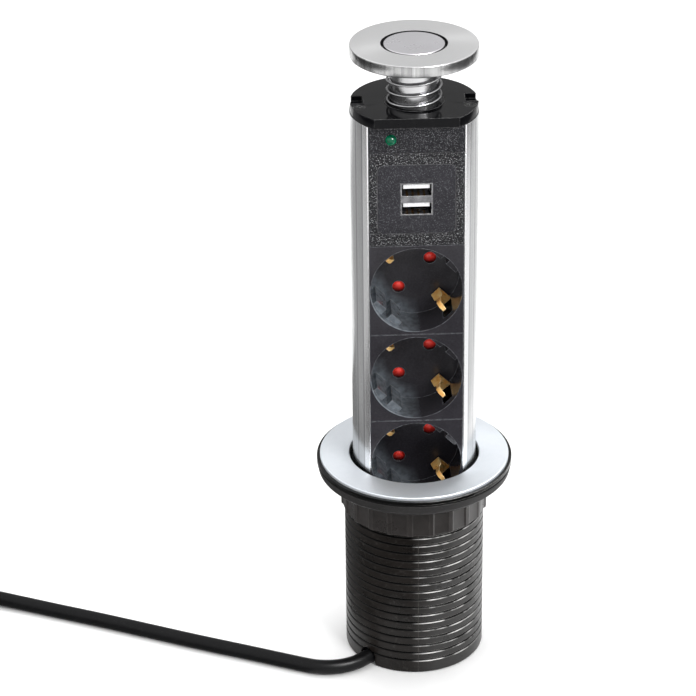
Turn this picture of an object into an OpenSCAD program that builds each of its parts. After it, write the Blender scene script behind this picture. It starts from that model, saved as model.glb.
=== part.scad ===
// Pull-up desk socket tower: a round aluminium column with three earthed sockets,
// two charging ports and a pop-up grip lid, sliding in a threaded barrel.
// Millimetres, +Z up, front towards -Y. The origin is the centre of the barrel's bottom rim.

/* [Barrel and clamp] */
// Height of the barrel from its bottom rim to the top of its flange
barrel_h = 96.1; // [92:0.1:140]
// Thickness of the barrel wall, thread included
barrel_wall = 2.6; // [2.4:0.1:4]
// Depth of the thread grooves
thread_depth = 0.9; // [0.5:0.05:1.2]
// Distance from one thread groove to the next
thread_pitch = 4; // [3:0.25:6]
// Height of the plain band under the thread
plain_band = 6; // [4:0.5:12]
// Outer diameter of the barrel's flange
flange_d = 86.2; // [80:0.2:100]
// Thickness of the flange
flange_t = 1.6; // [1.2:0.1:3]
// Width of the flange's edge that shows round the trim ring
ring_step = 1.4; // [1:0.1:4]
// Thickness of the trim ring
ring_t = 1.4; // [1:0.1:3]
// Thickness of the foam gasket under the flange
gasket_t = 0.8; // [0.5:0.1:2]
// Height of the clamp washer
washer_h = 5.8; // [4:0.1:8]
// Height of the clamp nut
nut_h = 15.5; // [10:0.5:20]
// Number of grip ribs round the clamp nut
nut_ribs = 22; // [12:1:30]

/* [Tower] */
// Outer diameter of the aluminium column
tower_d = 54.2; // [54:0.1:60]
// Wall thickness of the column
tower_wall = 1.6; // [1.4:0.05:1.8]
// Width of the front plates
plate_w = 39.9; // [39.8:0.1:40.6]
// Thickness of the front plates
plate_t = 2; // [1.6:0.1:2.4]
// Height of the end cap's top above the trim ring, as the tower stands in use
lift = 167.3; // [163:0.1:170]
// Thickness of the end cap
cap_t = 4.3; // [3.6:0.1:6]
// Diameter of the end cap
cap_d = 53.6; // [53:0.1:54]
// Depth of the end cap's flat front from the axis
cap_flat = 20.3; // [19.5:0.1:21]
// Height of the lamp plate
led_h = 12; // [11:0.5:16]
// Height of the charging plate
usb_h = 42.3; // [41:0.1:46]
// Height of one socket module
socket_h = 41.9; // [41.4:0.1:43]
// Height of the plain cover below the sockets
foot_h = 24.5; // [23:0.5:27]
// Height of the stop collar round the tower's foot
collar_h = 9.7; // [8:0.1:10]
// Thickness of the bottom cap
bottom_t = 4; // [3.5:0.1:4]

/* [Sockets] */
// Diameter of a socket recess
recess_d = 39; // [38.6:0.1:39]
// Depth of a socket recess
recess_depth = 17.5; // [16.5:0.1:18]
// Distance between the pin holes
pin_spacing = 19; // [18.5:0.1:19.5]
// Diameter of a pin hole
pin_hole_d = 5.4; // [5:0.1:6]
// Turn of the sockets about their own axis, in degrees
socket_turn = 45; // [30:1:60]
// Thickness of the recess floor
floor_t = 1; // [0.8:0.1:1.2]
// Thickness of a safety shutter
shutter_t = 1.6; // [1.2:0.1:1.8]
// Turn that opens a shutter, in degrees
shutter_turn = 35; // [34:1:38]
// Thickness of the earth strap
strap_t = 0.8; // [0.6:0.1:1]

/* [Charging ports and lamp] */
// Width of the ports' metal shell
usb_w = 13.2; // [13:0.1:14]
// Height of the metal shell over both ports
usb_stack_h = 14.2; // [14:0.1:16]
// Depth of the metal shell
usb_depth = 15; // [14:0.5:15]
// Width of the panel round the ports
usb_panel_w = 32.6; // [30:0.2:34]
// Height of the panel round the ports
usb_panel_h = 31.2; // [28:0.2:34]
// Diameter of the indicator lamp
led_d = 4.7; // [3:0.1:5.4]
// Distance of the lamp to the left of the middle
led_x = 10.6; // [9:0.1:13]

/* [Lid and button] */
// Diameter of the grip lid
lid_d = 53.6; // [52:0.1:54]
// Thickness of the grip lid
lid_t = 5; // [4.6:0.1:6]
// Gap between the end cap and the raised lid
lid_gap = 20.2; // [19.5:0.1:24]
// Outer diameter of the neck tube
neck_d = 20.5; // [19.5:0.1:20.5]
// Outer diameter of the release button
button_d = 25.5; // [24.5:0.1:26]
// Width of the gap round the button
button_gap = 1.15; // [0.5:0.05:1.5]
// Thickness of the release button
button_t = 1.4; // [1:0.1:1.4]
// Wire thickness of the lid spring
spring_wire = 1.2; // [1:0.05:1.3]
// Number of curls of the lid spring
spring_curls = 5.75; // [4:0.25:6]
// Travel of the lid from raised to latched
lid_travel = 12; // [8:0.5:12]

/* [Cord] */
// Diameter of the mains cord
cord_d = 6.6; // [6:0.1:6.8]
// Inner length of a plug pin above the plug's face
plug_pin_len = 19; // [18:0.5:20]
// Diameter of a plug pin
plug_pin_d = 4.8; // [4:0.1:4.8]
// Diameter of the plug
plug_d = 37.6; // [36:0.2:39]
// Height of the plug's body as it lies on its back
plug_h = 24; // [22:0.5:27]
// Loops of the coil on each of its two layers
coil_loops = 3; // [2:1:3]

/* [Fits] */
// Running clearance of turning and sliding pairs, on the radius
run_fit = 0.05; // [0.03:0.01:0.09]
// Clearance between fixed pieces
seat_fit = 0.1; // [0.05:0.01:0.12]

/* [Hidden] */
$fn = 64;

// Colours
black = "#1b1b1e";
anthracite = "#3a393d";
matte_dark = "#3a3835";
satin = "#c9cbcd";
steel = "#b9bbbd";
brass = "#c08a3e";
red = "#d0302a";

// Overshoot of a cut beyond the face that it opens
cut = 1;

// Radii of the column, its cavity and its front slot
tower_r = tower_d / 2;
cavity_r = tower_r - tower_wall;
slot_half = plate_w / 2 + seat_fit;
lip_t = 0.5;
panel_y = sqrt(pow(tower_r, 2) - pow(slot_half + lip_t, 2));

// Radii of the barrel, its stop collar and its guide
collar_gap = 0.1;
collar_wall = 1.15;
collar_r = tower_r + seat_fit / 2 + collar_wall;
bore_r = collar_r + collar_gap;
thread_r = bore_r + barrel_wall;
ring_bore_r = bore_r + 0.3;
guide_gap = 0.1;
guide_h = 10;
guide_drop = 14;
guide_z = barrel_h - guide_drop;
lid_r = lid_d / 2;
cap_r = cap_d / 2;

// Clamp pieces: the gasket's edge, and heights
gasket_step = 0.6;
gasket_z = barrel_h - flange_t - gasket_t;
washer_z = gasket_z - washer_h;
nut_z = washer_z - nut_h;
washer_fit = 0.2;
washer_chamfer = 2.2;
washer_taper = 0.8;
washer_foot = 3.2;
rim_chamfer = 0.6;
groove_flank = 0.6;
nut_rib = 1.6;
nut_valley = 1;
nut_rib_top = 0.2;
nut_flank = 0.3;
nut_valley_end = 0.9;
nut_facets = 240;

// Heights of the tower's pieces, from the top down
ring_top = barrel_h + ring_t;
cap_top = ring_top + lift;
cap_z = cap_top - cap_t;
led_z = cap_z - led_h;
usb_z = led_z - usb_h;
sockets = 3;
foot_z = usb_z - sockets * socket_h;
profile_z = foot_z - foot_h;
bottom_z = profile_z - bottom_t;
lid_z = cap_top + lid_gap;
lid_top = lid_z + lid_t;
function socket_z(i) = usb_z - (i - 0.5) * socket_h;

// Screws through the caps into the column's screw ducts
duct_r = 2.3;
duct_bore_r = 1.3;
screw_r = duct_bore_r - run_fit;
screw_head_r = 2.6;
screw_head_t = 1.4;
duct_inset = 3.4;
duct_angles = [-14.3, 90, 194.3];
duct_at = tower_r - duct_inset;
screw_len = 14;
cross_half = 1.3;
cross_w = 0.6;
pocket_in = 21.3;
pocket_y0 = -2.2;
pocket_y1 = 5.6;
pocket_depth = 2.4;
bottom_step = 0.3;

// Sockets
recess_r = recess_d / 2;
cup_r = recess_r + 0.8;
floor_y = -panel_y + recess_depth;
floor_back = floor_y + floor_t;
pin_hole_r = pin_hole_d / 2;
pin_at = pin_spacing / 2;
pivot_r = 2.5;
shutter_y = floor_back + seat_fit;
shutter_back = shutter_y + shutter_t;
shutter_r = 13.2;
strap_y = shutter_back + 0.7;
strap_back = strap_y + strap_t;
strap_w = 5;
strap_r = recess_r + 0.75;
clip_reach = 4.6;
clip_sheet = 0.6;
clip_y = floor_y - 9;
clip_root = 6;
clip_end = 3.5;
clip_slot_gap = 0.3;
guide_in = 16.2;
guide_slot_half = 1.6;
guide_half = 7.5;
guide_setback = 3.5;
carrier_y = strap_back + seat_fit;
carrier_t = 1.6;
sleeve_r = 3.4;
sleeve_bore_r = 2.5;
sleeve_back = carrier_y + 11.2;
carrier_tube_r = 4.9;
rail_t = 0.8;
rail_w = 5.6;
rail_end = 5;
wire_r = 1;
wire_step = 2.2;
wire_bend = 5;

// Charging ports
usb_window_gap = 0.1;
usb_mid_z = usb_z + usb_h / 2;
usb_recess = 0.4;
usb_wall = 0.4;
port_h = 5.1;
port_step = usb_stack_h - 2 * usb_wall - port_h;
tongue_t = 1.8;
tongue_w = 11.1;
usb_back = -panel_y + usb_depth;
board_t = 1.6;
board_half_w = 15;
board_rise = 8.5;
transformer_half_w = 8.5;
transformer_depth = 12;
transformer_low = 14;
transformer_high = 2;
capacitor_r = 3;
capacitor_x = 12;
capacitor_drop = 4;
choke_r = 2.2;
choke_rise = 5.5;
led_board_half = 4.5;
led_board_t = 1.2;
led_board_inset = 1;
panel_corner_r = 3;
tongue_drop = 0.5;
tongue_setback = 1.6;
contact_step = 2.4;
contact_w = 1;
contact_t = 0.3;
contact_len = 9;
contact_setback = 2.4;
lens_back = -panel_y + max(led_d / 2, plate_t) + 0.2;

// Neck, its bush and the catch
neck_r = neck_d / 2;
neck_wall = 1.65;
neck_bore_r = neck_r - neck_wall;
neck_low = cap_top - 14.3;
bush_r = neck_r + run_fit + 2.3;
bush_flange_r = bush_r + 1.2;
bush_flange_t = 1.8;
clip_z = cap_z - 3;
clip_t = 1;
clip_depth = 0.55;
clip_r = neck_r + 1.9;
window_z = neck_low + 2;
window_h = 4;
window_w = 4.4;
web_z = cap_top + 7.2;
web_t = 1.2;
well_floor = 1.2;
neck_flange_r = neck_r + 2;
neck_flange_t = 0.6;
lever_w = 4;
lever_eye_r = 1.5;
lever_t = 1.6;
pivot_y = neck_r + 5.25;
pivot_z = cap_z - 4;
catch_pin_r = 1;
ear_w = 1.6;
ear_gap = 0.3;
ear_half_y = 1.45;
ear_span = lever_w / 2 + ear_gap + ear_w;
nose_tip_y = neck_r + 0.65;
nose_t = 1.6;
nose_z = window_z - lid_travel + 0.7;
leaf_t = 0.4;
leaf_half = 1.5;
leaf_gap = 0.2;

// Lid spring and button
curl_rings = 8;
spring_r = (neck_r + spring_wire / 2 + 0.25) / cos(180 / curl_rings);
button_r = button_d / 2;
well_r = button_r + button_gap;
button_z = lid_top - button_t;
stem_r = 3;
stem_stop_r = 4.2;
stem_stop_t = 1.4;
stem_low = neck_low + 1.5;
stem_tip_r = 1;
stem_cone_h = 4;
button_spring_r = 5;
button_spring_wire = 0.8;
button_spring_curls = 7;

// Cord: bend radius 26, floor height, and route points chosen by hand
cord_r = cord_d / 2;
cord_sides = 10;
gland_r = 6.4;
gland_len = 20;
gland_flange_r = 9;
gland_flange_t = 2;
gland_tip_wall = 1;
notch_w = 8.4;
notch_h = 8;
notch_angle = 224.3;
cord_z = 3.4;
cord_end_z = profile_z + gland_flange_t / 2;
drop_end = 28.6;
notch_way = [cos(notch_angle), sin(notch_angle), 0];
drop_profile = [
    [0, cord_end_z], [0, 30], [0.8, 22.7], [3.5, 16.4], [7.6, 11],
    [13, 6.9], [19.3, 4.3], [26, cord_z], [drop_end, cord_z]
];
drop_route = [for (q = drop_profile) q[0] * notch_way + [0, 0, q[1]]];
run_start = drop_end * notch_way + [0, 0, cord_z];
run_route = [
    run_start, run_start + 2.6 * notch_way, [-27.3, -25.8, 3.4], [-33, -28.3, 3.4],
    [-39.3, -29.2, 3.4], [-45.7, -28.5, 3.4], [-52, -26.2, 3.4], [-62, -21.8, 3.4], [-75, -16, 3.4],
    [-98, -6, 3.4], [-121, 4.5, 3.4], [-144, 15, 3.4], [-167, 25, 3.4], [-190, 34.8, 3.7],
    [-212, 43.6, 4.4], [-226.9, 49.6, 4.4]
];

// Coil: two layers of loops that spiral in, climb and spiral out again
coil_x = -251;
coil_y = 10.8;
coil_z = 4.4;
coil_out_r = 45;
coil_step = 7.6;
coil_layer = 7.45;
coil_start = 66.5;
coil_sides = 6;
coil_rings = 24;
coil_tube_r = 3.5;
coil_turns = 2 * coil_loops + 0.5;
coil_turn_back = coil_loops + 0.25;
tie_angle = 20;
tie_w = 6;
tie_t = 0.9;
tie_in_r = 19;
tie_out_r = 44.4;
tie_low = 0.1;

// Plug, lying on its back beside the coil
tail_len = 14;
relief_len = 34;
relief_r1 = 4.3;
relief_r2 = 6.5;
relief_sunk = 5;
plug_r = plug_d / 2;
plug_edge = 2;
pin_sunk = 6;
plug_strip_w = 4.4;
plug_strip_t = 0.8;
plug_strip_h = 13;

// Small helpers

// A column of radius r between two heights with its front cut flat at depth flat
module flat_column(r, z0, z1, flat) {
    difference() {
        translate([0, 0, z0]) cylinder(r = r, h = z1 - z0);
        translate([-r - cut, -r - cut, z0 - cut]) cube([2 * (r + cut), r + cut - flat, z1 - z0 + 2 * cut]);
    }
}

// A round bar along +Y, centred at x and z
module bar_y(r, x, z, y0, y1) {
    translate([x, y0, z]) rotate([-90, 0, 0]) cylinder(r = r, h = y1 - y0);
}

// A box from one corner to the other
module box(p, q) {
    translate(p) cube([q[0] - p[0], q[1] - p[1], q[2] - p[2]]);
}

// A plate that fills the column's front slot
module front_plate(z0, z1) {
    box([-plate_w / 2, -panel_y, z0 + seat_fit], [plate_w / 2, -panel_y + plate_t, z1 - seat_fit]);
}

// A place on a socket's face, at a turn and a distance from the socket's axis
module on_socket(i, turn, dist) {
    translate([0, 0, socket_z(i)])
        rotate([0, -turn, 0])
            translate([dist, 0, 0])
                children();
}

// Copies at the column's screw ducts
module at_ducts() {
    for (a = duct_angles) rotate([0, 0, a]) translate([duct_at, 0, 0]) children();
}

// Vector helpers for swept tubes
function unit(v) = v / norm(v);
function side_of(t) = unit(cross(t, [0, 0, 1]));
function heading(p, i) = unit(p[min(i + 1, len(p) - 1)] - p[max(i - 1, 0)]);
function ring_points(c, t, s, r, n) =
    let (u = cross(s, t))
    [for (k = [0 : n - 1]) c + r * (cos(360 * k / n) * s + sin(360 * k / n) * u)];

// A tube through points p; side is one fixed sideways direction, or undef on a level route
module tube(p, r, n, side = undef) {
    rings = len(p);
    points = [
        for (i = [0 : rings - 1])
            let (t = heading(p, i))
            each ring_points(p[i], t, is_undef(side) ? side_of(t) : side, r, n)
    ];
    walls = [
        for (i = [0 : rings - 2], k = [0 : n - 1])
            let (a = i * n + k, b = i * n + (k + 1) % n)
            each [[a, b, b + n], [a, b + n, a + n]]
    ];
    ends = [
        [for (k = [n - 1 : -1 : 0]) k],
        [for (k = [0 : n - 1]) (rings - 1) * n + k]
    ];
    polyhedron(points = points, faces = concat(walls, ends), convexity = 10);
}

// Points of a helix whose first and last quarter curls lie flat
function helix(r, wire, h, curls, z0) =
    let (rings = round(curl_rings * curls), rise = h - wire)
    [for (i = [0 : rings])
        let (u = i / curl_rings, w = min(max((u - 0.5) / (curls - 1), 0), 1))
        [r * cos(360 * u), r * sin(360 * u), z0 + wire / 2 + rise * w]];

// A wound spring of 6-sided wire
module wound_spring(r, wire, h, curls, z0) {
    tube(helix(r, wire, h, curls, z0), wire / 2, 6);
}

// Barrel and clamp

// Outline of the thread crests from the flange down to the plain band
function thread_outline() =
    let (count = floor((barrel_h - flange_t - plain_band - thread_pitch / 2) / thread_pitch))
    [for (k = [count : -1 : 0])
        let (z = plain_band + k * thread_pitch)
        each [[thread_r, z + 2 * groove_flank], [thread_r - thread_depth, z + groove_flank], [thread_r, z]]];

// Threaded tube with its flange and the arch for the cord
module barrel() {
    color(matte_dark)
    difference() {
        rotate_extrude() polygon(concat(
            [[bore_r, 0], [bore_r, barrel_h], [flange_d / 2, barrel_h], [flange_d / 2, barrel_h - flange_t]],
            [[thread_r, barrel_h - flange_t]],
            thread_outline(),
            [[thread_r, rim_chamfer], [thread_r - rim_chamfer, 0]]
        ));
        rotate([0, 0, notch_angle]) {
            box([bore_r - 2, -notch_w / 2, -cut], [thread_r + cut, notch_w / 2, notch_h - notch_w / 2]);
            translate([bore_r - 2, 0, notch_h - notch_w / 2])
                rotate([0, 90, 0])
                    cylinder(r = notch_w / 2, h = barrel_wall + 2 + cut);
        }
    }
}

// Satin ring that covers the flange
module trim_ring() {
    bevel = 0.4;
    r = flange_d / 2 - ring_step;
    color(satin)
    rotate_extrude() polygon([
        [ring_bore_r, barrel_h], [ring_bore_r, ring_top - bevel], [ring_bore_r + bevel, ring_top],
        [r - bevel, ring_top], [r, ring_top - bevel], [r, barrel_h]
    ]);
}

// Foam ring between the flange and the desk
module flange_gasket() {
    color(black)
    translate([0, 0, gasket_z])
    difference() {
        cylinder(r = flange_d / 2 - gasket_step, h = gasket_t);
        translate([0, 0, -cut]) cylinder(r = thread_r + washer_fit, h = gasket_t + 2 * cut);
    }
}

// Plastic guide in the barrel's mouth; its flat side stops the tower from turning
module guide_ring() {
    color(black)
    difference() {
        translate([0, 0, guide_z]) cylinder(r = bore_r - run_fit, h = guide_h);
        flat_column(tower_r + guide_gap, guide_z - cut, guide_z + guide_h + cut, cap_flat + 0.3);
    }
}

// Loose washer between the desk and the nut
module clamp_washer() {
    r = flange_d / 2;
    color(matte_dark)
    rotate_extrude() polygon([
        [thread_r + washer_fit, washer_z], [r - washer_foot, washer_z],
        [r - washer_taper, washer_z + washer_chamfer],
        [r, washer_z + washer_h], [thread_r + washer_fit, washer_z + washer_h]
    ]);
}

// Ribbed nut; its thread is left plain at the crests, so that it turns freely
module clamp_nut() {
    rib_r = thread_r + nut_rib;
    valley_r = thread_r + nut_valley;
    step = 360 / nut_ribs;
    outline = [
        for (k = [0 : nut_ribs - 1])
            let (a = k * step)
            each [
                rib_r * [cos(a), sin(a)],
                rib_r * [cos(a + nut_rib_top * step), sin(a + nut_rib_top * step)],
                valley_r * [cos(a + nut_flank * step), sin(a + nut_flank * step)],
                valley_r * [cos(a + nut_valley_end * step), sin(a + nut_valley_end * step)]
            ]
    ];
    color(matte_dark)
    translate([0, 0, nut_z])
    difference() {
        linear_extrude(height = nut_h) polygon(outline);
        translate([0, 0, -cut]) cylinder(r = thread_r + run_fit, h = nut_h + 2 * cut, $fn = nut_facets);
    }
}

// Tower shell

// Extruded column, open at the front, with four screw ducts
module tower_profile() {
    color(satin)
    translate([0, 0, profile_z])
    linear_extrude(height = cap_z - profile_z)
    difference() {
        union() {
            difference() {
                circle(r = tower_r);
                circle(r = cavity_r);
                translate([-slot_half, -tower_r]) square([2 * slot_half, tower_r]);
                translate([-tower_r - cut, -tower_r - cut])
                    square([2 * (tower_r + cut), tower_r + cut - panel_y]);
            }
            at_ducts() circle(r = duct_r);
        }
        at_ducts() circle(r = duct_bore_r);
    }
}

// Stop collar that meets the guide when the tower is fully up
module foot_collar() {
    color(black)
    difference() {
        translate([0, 0, profile_z]) cylinder(r = collar_r, h = collar_h);
        flat_column(tower_r + seat_fit / 2, profile_z - cut, profile_z + collar_h + cut,
            panel_y + seat_fit / 2);
    }
}

// Gloss end cap with a flat front, two side pockets and sunk screw seats
module end_cap() {
    color(black)
    difference() {
        flat_column(cap_r, cap_z, cap_top, cap_flat);
        translate([0, 0, cap_z - cut]) cylinder(r = bush_r + seat_fit / 2, h = cap_t + 2 * cut);
        for (side = [-1, 1])
            translate([side > 0 ? pocket_in : -pocket_in - cap_r, pocket_y0, cap_top - pocket_depth])
                cube([cap_r, pocket_y1 - pocket_y0, pocket_depth + cut]);
        at_ducts() {
            translate([0, 0, cap_z - cut]) cylinder(r = duct_bore_r, h = cap_t + 2 * cut);
            translate([0, 0, cap_top - screw_head_t]) cylinder(r = screw_head_r, h = screw_head_t + cut);
        }
    }
}

// One countersunk screw pointing down from z = 0
module cap_screw() {
    difference() {
        union() {
            translate([0, 0, -screw_head_t]) cylinder(r = screw_head_r - run_fit, h = screw_head_t - 0.2);
            translate([0, 0, -screw_len]) cylinder(r = screw_r, h = screw_len - screw_head_t / 2);
        }
        for (a = [0, 90])
            rotate([0, 0, a])
                translate([-cross_half, -cross_w / 2, -screw_head_t / 2 - 0.2])
                    cube([2 * cross_half, cross_w, screw_head_t]);
    }
}

// Screws that hold the end cap
module end_cap_screws() {
    color(steel) at_ducts() translate([0, 0, cap_top]) cap_screw();
}

// Plate that closes the column's foot and holds the gland
module bottom_cap() {
    color(black)
    difference() {
        translate([0, 0, bottom_z]) cylinder(r = collar_r - bottom_step, h = bottom_t);
        translate([0, 0, bottom_z - cut]) cylinder(r = gland_r + seat_fit, h = bottom_t + 2 * cut);
        at_ducts() {
            translate([0, 0, bottom_z - cut]) cylinder(r = duct_bore_r, h = bottom_t + 2 * cut);
            translate([0, 0, bottom_z - cut]) cylinder(r = screw_head_r, h = screw_head_t + cut);
        }
    }
}

// Screws that hold the bottom cap
module bottom_screws() {
    color(steel) at_ducts() translate([0, 0, bottom_z]) mirror([0, 0, 1]) cap_screw();
}

// Tapered strain relief; its flange sits on the bottom cap
module cable_gland() {
    color(black)
    rotate_extrude() polygon([
        [cord_r, bottom_z - gland_len], [cord_r + gland_tip_wall, bottom_z - gland_len], [gland_r, bottom_z],
        [gland_r, profile_z], [gland_flange_r, profile_z], [gland_flange_r, profile_z + gland_flange_t],
        [cord_r, profile_z + gland_flange_t]
    ]);
}

// Plain cover between the lowest socket and the foot
module foot_plate() {
    color(anthracite) front_plate(profile_z, foot_z);
}

// Lamp

// Plate with the lamp's hole
module led_plate() {
    color(anthracite)
    difference() {
        front_plate(led_z, cap_z);
        bar_y(led_d / 2 + run_fit, -led_x, led_z + led_h / 2, -panel_y - cut, -panel_y + plate_t + cut);
    }
}

// Green dome of the lamp
module led_lens() {
    z = led_z + led_h / 2;
    color("#0b7a4a")
    union() {
        bar_y(led_d / 2, -led_x, z, -panel_y, lens_back);
        translate([-led_x, -panel_y, z]) sphere(r = led_d / 2);
    }
}

// Small board behind the lamp
module led_board() {
    color("#1f6b3a")
    box([-led_x - led_board_half, lens_back, led_z + led_board_inset],
        [-led_x + led_board_half, lens_back + led_board_t, cap_z - led_board_inset]);
}

// Charging ports

// Rounded rectangle bar along +Y
module rounded_bar_y(w, h, r, z, y0, y1) {
    translate([0, y0, z])
        rotate([-90, 0, 0])
            linear_extrude(height = y1 - y0)
                union() {
                    square([w - 2 * r, h], center = true);
                    square([w, h - 2 * r], center = true);
                    for (x = [-1, 1], y = [-1, 1]) translate([x * (w / 2 - r), y * (h / 2 - r)]) circle(r = r);
                }
}

// Plate with the window for the port panel
module usb_plate() {
    color(anthracite)
    difference() {
        front_plate(usb_z, led_z);
        rounded_bar_y(usb_panel_w + 2 * usb_window_gap, usb_panel_h + 2 * usb_window_gap,
            panel_corner_r + usb_window_gap, usb_mid_z, -panel_y - cut, -panel_y + plate_t + cut);
    }
}

// Panel that sits in the window and frames the ports
module usb_panel() {
    color(anthracite)
    difference() {
        rounded_bar_y(usb_panel_w, usb_panel_h, panel_corner_r, usb_mid_z,
            -panel_y + usb_recess, -panel_y + plate_t);
        box([-usb_w / 2 - usb_window_gap, -panel_y - cut, usb_mid_z - usb_stack_h / 2 - usb_window_gap],
            [usb_w / 2 + usb_window_gap, 0, usb_mid_z + usb_stack_h / 2 + usb_window_gap]);
    }
}

// Heights of the middles of the two ports
function port_z(k) = usb_mid_z + (k - 0.5) * port_step;

// Metal shell round both ports
module usb_shell() {
    color(steel)
    difference() {
        box([-usb_w / 2, -panel_y + usb_recess / 2, usb_mid_z - usb_stack_h / 2],
            [usb_w / 2, usb_back, usb_mid_z + usb_stack_h / 2]);
        for (k = [0, 1])
            box([-usb_w / 2 + usb_wall, -panel_y - cut, port_z(k) - port_h / 2],
                [usb_w / 2 - usb_wall, usb_back - 1, port_z(k) + port_h / 2]);
    }
}

// Lowest height of a port's tongue
function tongue_z(k) = port_z(k) + port_h / 2 - tongue_drop - tongue_t;

// Plastic tongues in the ports
module usb_tongues() {
    color("#d9dadc")
    for (k = [0, 1])
        box([-tongue_w / 2, -panel_y + tongue_setback, tongue_z(k)],
            [tongue_w / 2, usb_back - 1, tongue_z(k) + tongue_t]);
}

// Four contact strips under each tongue
module usb_contacts() {
    color(brass)
    for (k = [0, 1], j = [0 : 3])
        translate([(j - 1.5) * contact_step - contact_w / 2, -panel_y + contact_setback, tongue_z(k) - contact_t])
            cube([contact_w, contact_len, contact_t]);
}

// Charger's circuit board behind the ports
module charger_board() {
    color("#1f6b3a")
    box([-board_half_w, usb_back, usb_z + 2], [board_half_w, usb_back + board_t, usb_mid_z + board_rise]);
}

// Transformer, two capacitors and a coil on the board
module charger_parts() {
    back = usb_back + board_t;
    color("#c9a13a") {
        box([-transformer_half_w, back, usb_mid_z - transformer_low],
            [transformer_half_w, back + transformer_depth, usb_mid_z + transformer_high]);
        for (side = [-1, 1])
            bar_y(capacitor_r, side * capacitor_x, usb_mid_z - capacitor_drop, back, back + transformer_depth - 1);
        bar_y(choke_r, 0, usb_mid_z + choke_rise, back, back + transformer_depth - 4);
    }
}

// Sockets

// Front plate, cup, guide ribs and pivot boss of one socket
module socket(i) {
    z = socket_z(i);
    color(black)
    difference() {
        union() {
            difference() {
                union() {
                    front_plate(z - socket_h / 2, z + socket_h / 2);
                    intersection() {
                        bar_y(cup_r, 0, z, -panel_y + plate_t / 2, floor_back);
                        translate([0, 0, z - cup_r]) cylinder(r = cavity_r - seat_fit, h = 2 * cup_r);
                        box([-cup_r, -tower_r, z - socket_h / 2 + seat_fit],
                            [cup_r, floor_back, z + socket_h / 2 - seat_fit]);
                    }
                }
                bar_y(recess_r, 0, z, -panel_y - cut, floor_y);
            }
            for (turn = [socket_turn, socket_turn + 180], side = [-1, 1])
                on_socket(i, turn, 0)
                    intersection() {
                        bar_y(cup_r, 0, 0, -panel_y + guide_setback, floor_y + floor_t / 2);
                        box([guide_in, -panel_y, min(side * guide_slot_half, side * guide_half)],
                            [cup_r, floor_back, max(side * guide_slot_half, side * guide_half)]);
                    }
            bar_y(pivot_r, 0, z, floor_y + floor_t / 2, shutter_back + 0.3);
        }
        for (turn = [socket_turn, socket_turn + 180])
            on_socket(i, turn, pin_at) bar_y(pin_hole_r, 0, 0, floor_y - cut, floor_back + cut);
        for (turn = [socket_turn + 90, socket_turn + 270])
            on_socket(i, turn, 0)
                box([recess_r - clip_sheet, clip_y - clip_end - 1, -strap_w / 2 - clip_slot_gap],
                    [cup_r + cut, floor_back + cut, strap_w / 2 + clip_slot_gap]);
    }
}

module socket_1() { socket(1); }
module socket_2() { socket(2); }
module socket_3() { socket(3); }

// Red disc that covers the pin holes until a plug turns it
module shutter(i) {
    z = socket_z(i);
    color(red)
    difference() {
        bar_y(shutter_r, 0, z, shutter_y, shutter_back);
        bar_y(pivot_r + run_fit, 0, z, shutter_y - cut, shutter_back + cut);
        for (turn = [socket_turn + shutter_turn, socket_turn + shutter_turn + 180])
            on_socket(i, turn, pin_at) bar_y(pin_hole_r + 0.1, 0, 0, shutter_y - cut, shutter_back + cut);
    }
}

module shutter_1() { shutter(1); }
module shutter_2() { shutter(2); }
module shutter_3() { shutter(3); }

// Brass strap behind the shutter, with a spring clip at each end in the recess wall
module earth_strap(i) {
    color(brass)
    union() {
        on_socket(i, socket_turn + 90, 0)
            box([-strap_r, strap_y, -strap_w / 2], [strap_r, strap_back, strap_w / 2]);
        for (turn = [socket_turn + 90, socket_turn + 270])
            on_socket(i, turn, strap_r)
                translate([0, 0, -strap_w / 2])
                    linear_extrude(height = strap_w)
                        polygon([
                            [0, strap_back], [-clip_sheet, strap_back], [-clip_sheet, clip_y + clip_root],
                            [-clip_reach, clip_y], [-clip_sheet, clip_y - clip_end], [0, clip_y - clip_end],
                            [-clip_reach + 1.3 * clip_sheet, clip_y], [0, clip_y + clip_root]
                        ]);
    }
}

module earth_strap_1() { earth_strap(1); }
module earth_strap_2() { earth_strap(2); }
module earth_strap_3() { earth_strap(3); }

// Plastic carrier behind one socket that holds its two contact sleeves
module contact_carrier(i) {
    z = socket_z(i);
    color("#d8d5cc")
    difference() {
        union() {
            bar_y(shutter_r, 0, z, carrier_y, carrier_y + carrier_t);
            for (turn = [socket_turn, socket_turn + 180])
                on_socket(i, turn, pin_at) bar_y(carrier_tube_r, 0, 0, carrier_y, sleeve_back);
        }
        for (turn = [socket_turn, socket_turn + 180])
            on_socket(i, turn, pin_at) bar_y(sleeve_r + seat_fit, 0, 0, carrier_y - cut, sleeve_back + cut);
    }
}

module contact_carrier_1() { contact_carrier(1); }
module contact_carrier_2() { contact_carrier(2); }
module contact_carrier_3() { contact_carrier(3); }

// One rail with a contact sleeve for each socket; turn tells which pin hole it serves
module contact_rail(turn) {
    x = pin_at * cos(turn);
    shift = pin_at * sin(turn);
    color(brass)
    difference() {
        union() {
            box([x - rail_w / 2, sleeve_back, socket_z(sockets) + shift - rail_end],
                [x + rail_w / 2, sleeve_back + rail_t, socket_z(1) + shift + rail_end]);
            for (i = [1 : sockets]) on_socket(i, turn, pin_at) bar_y(sleeve_r, 0, 0, carrier_y, sleeve_back + 0.2);
        }
        for (i = [1 : sockets])
            on_socket(i, turn, pin_at) bar_y(sleeve_bore_r, 0, 0, carrier_y - cut, sleeve_back + rail_t + cut);
    }
}

module live_rail() { contact_rail(socket_turn); }
module neutral_rail() { contact_rail(socket_turn + 180); }

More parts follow.
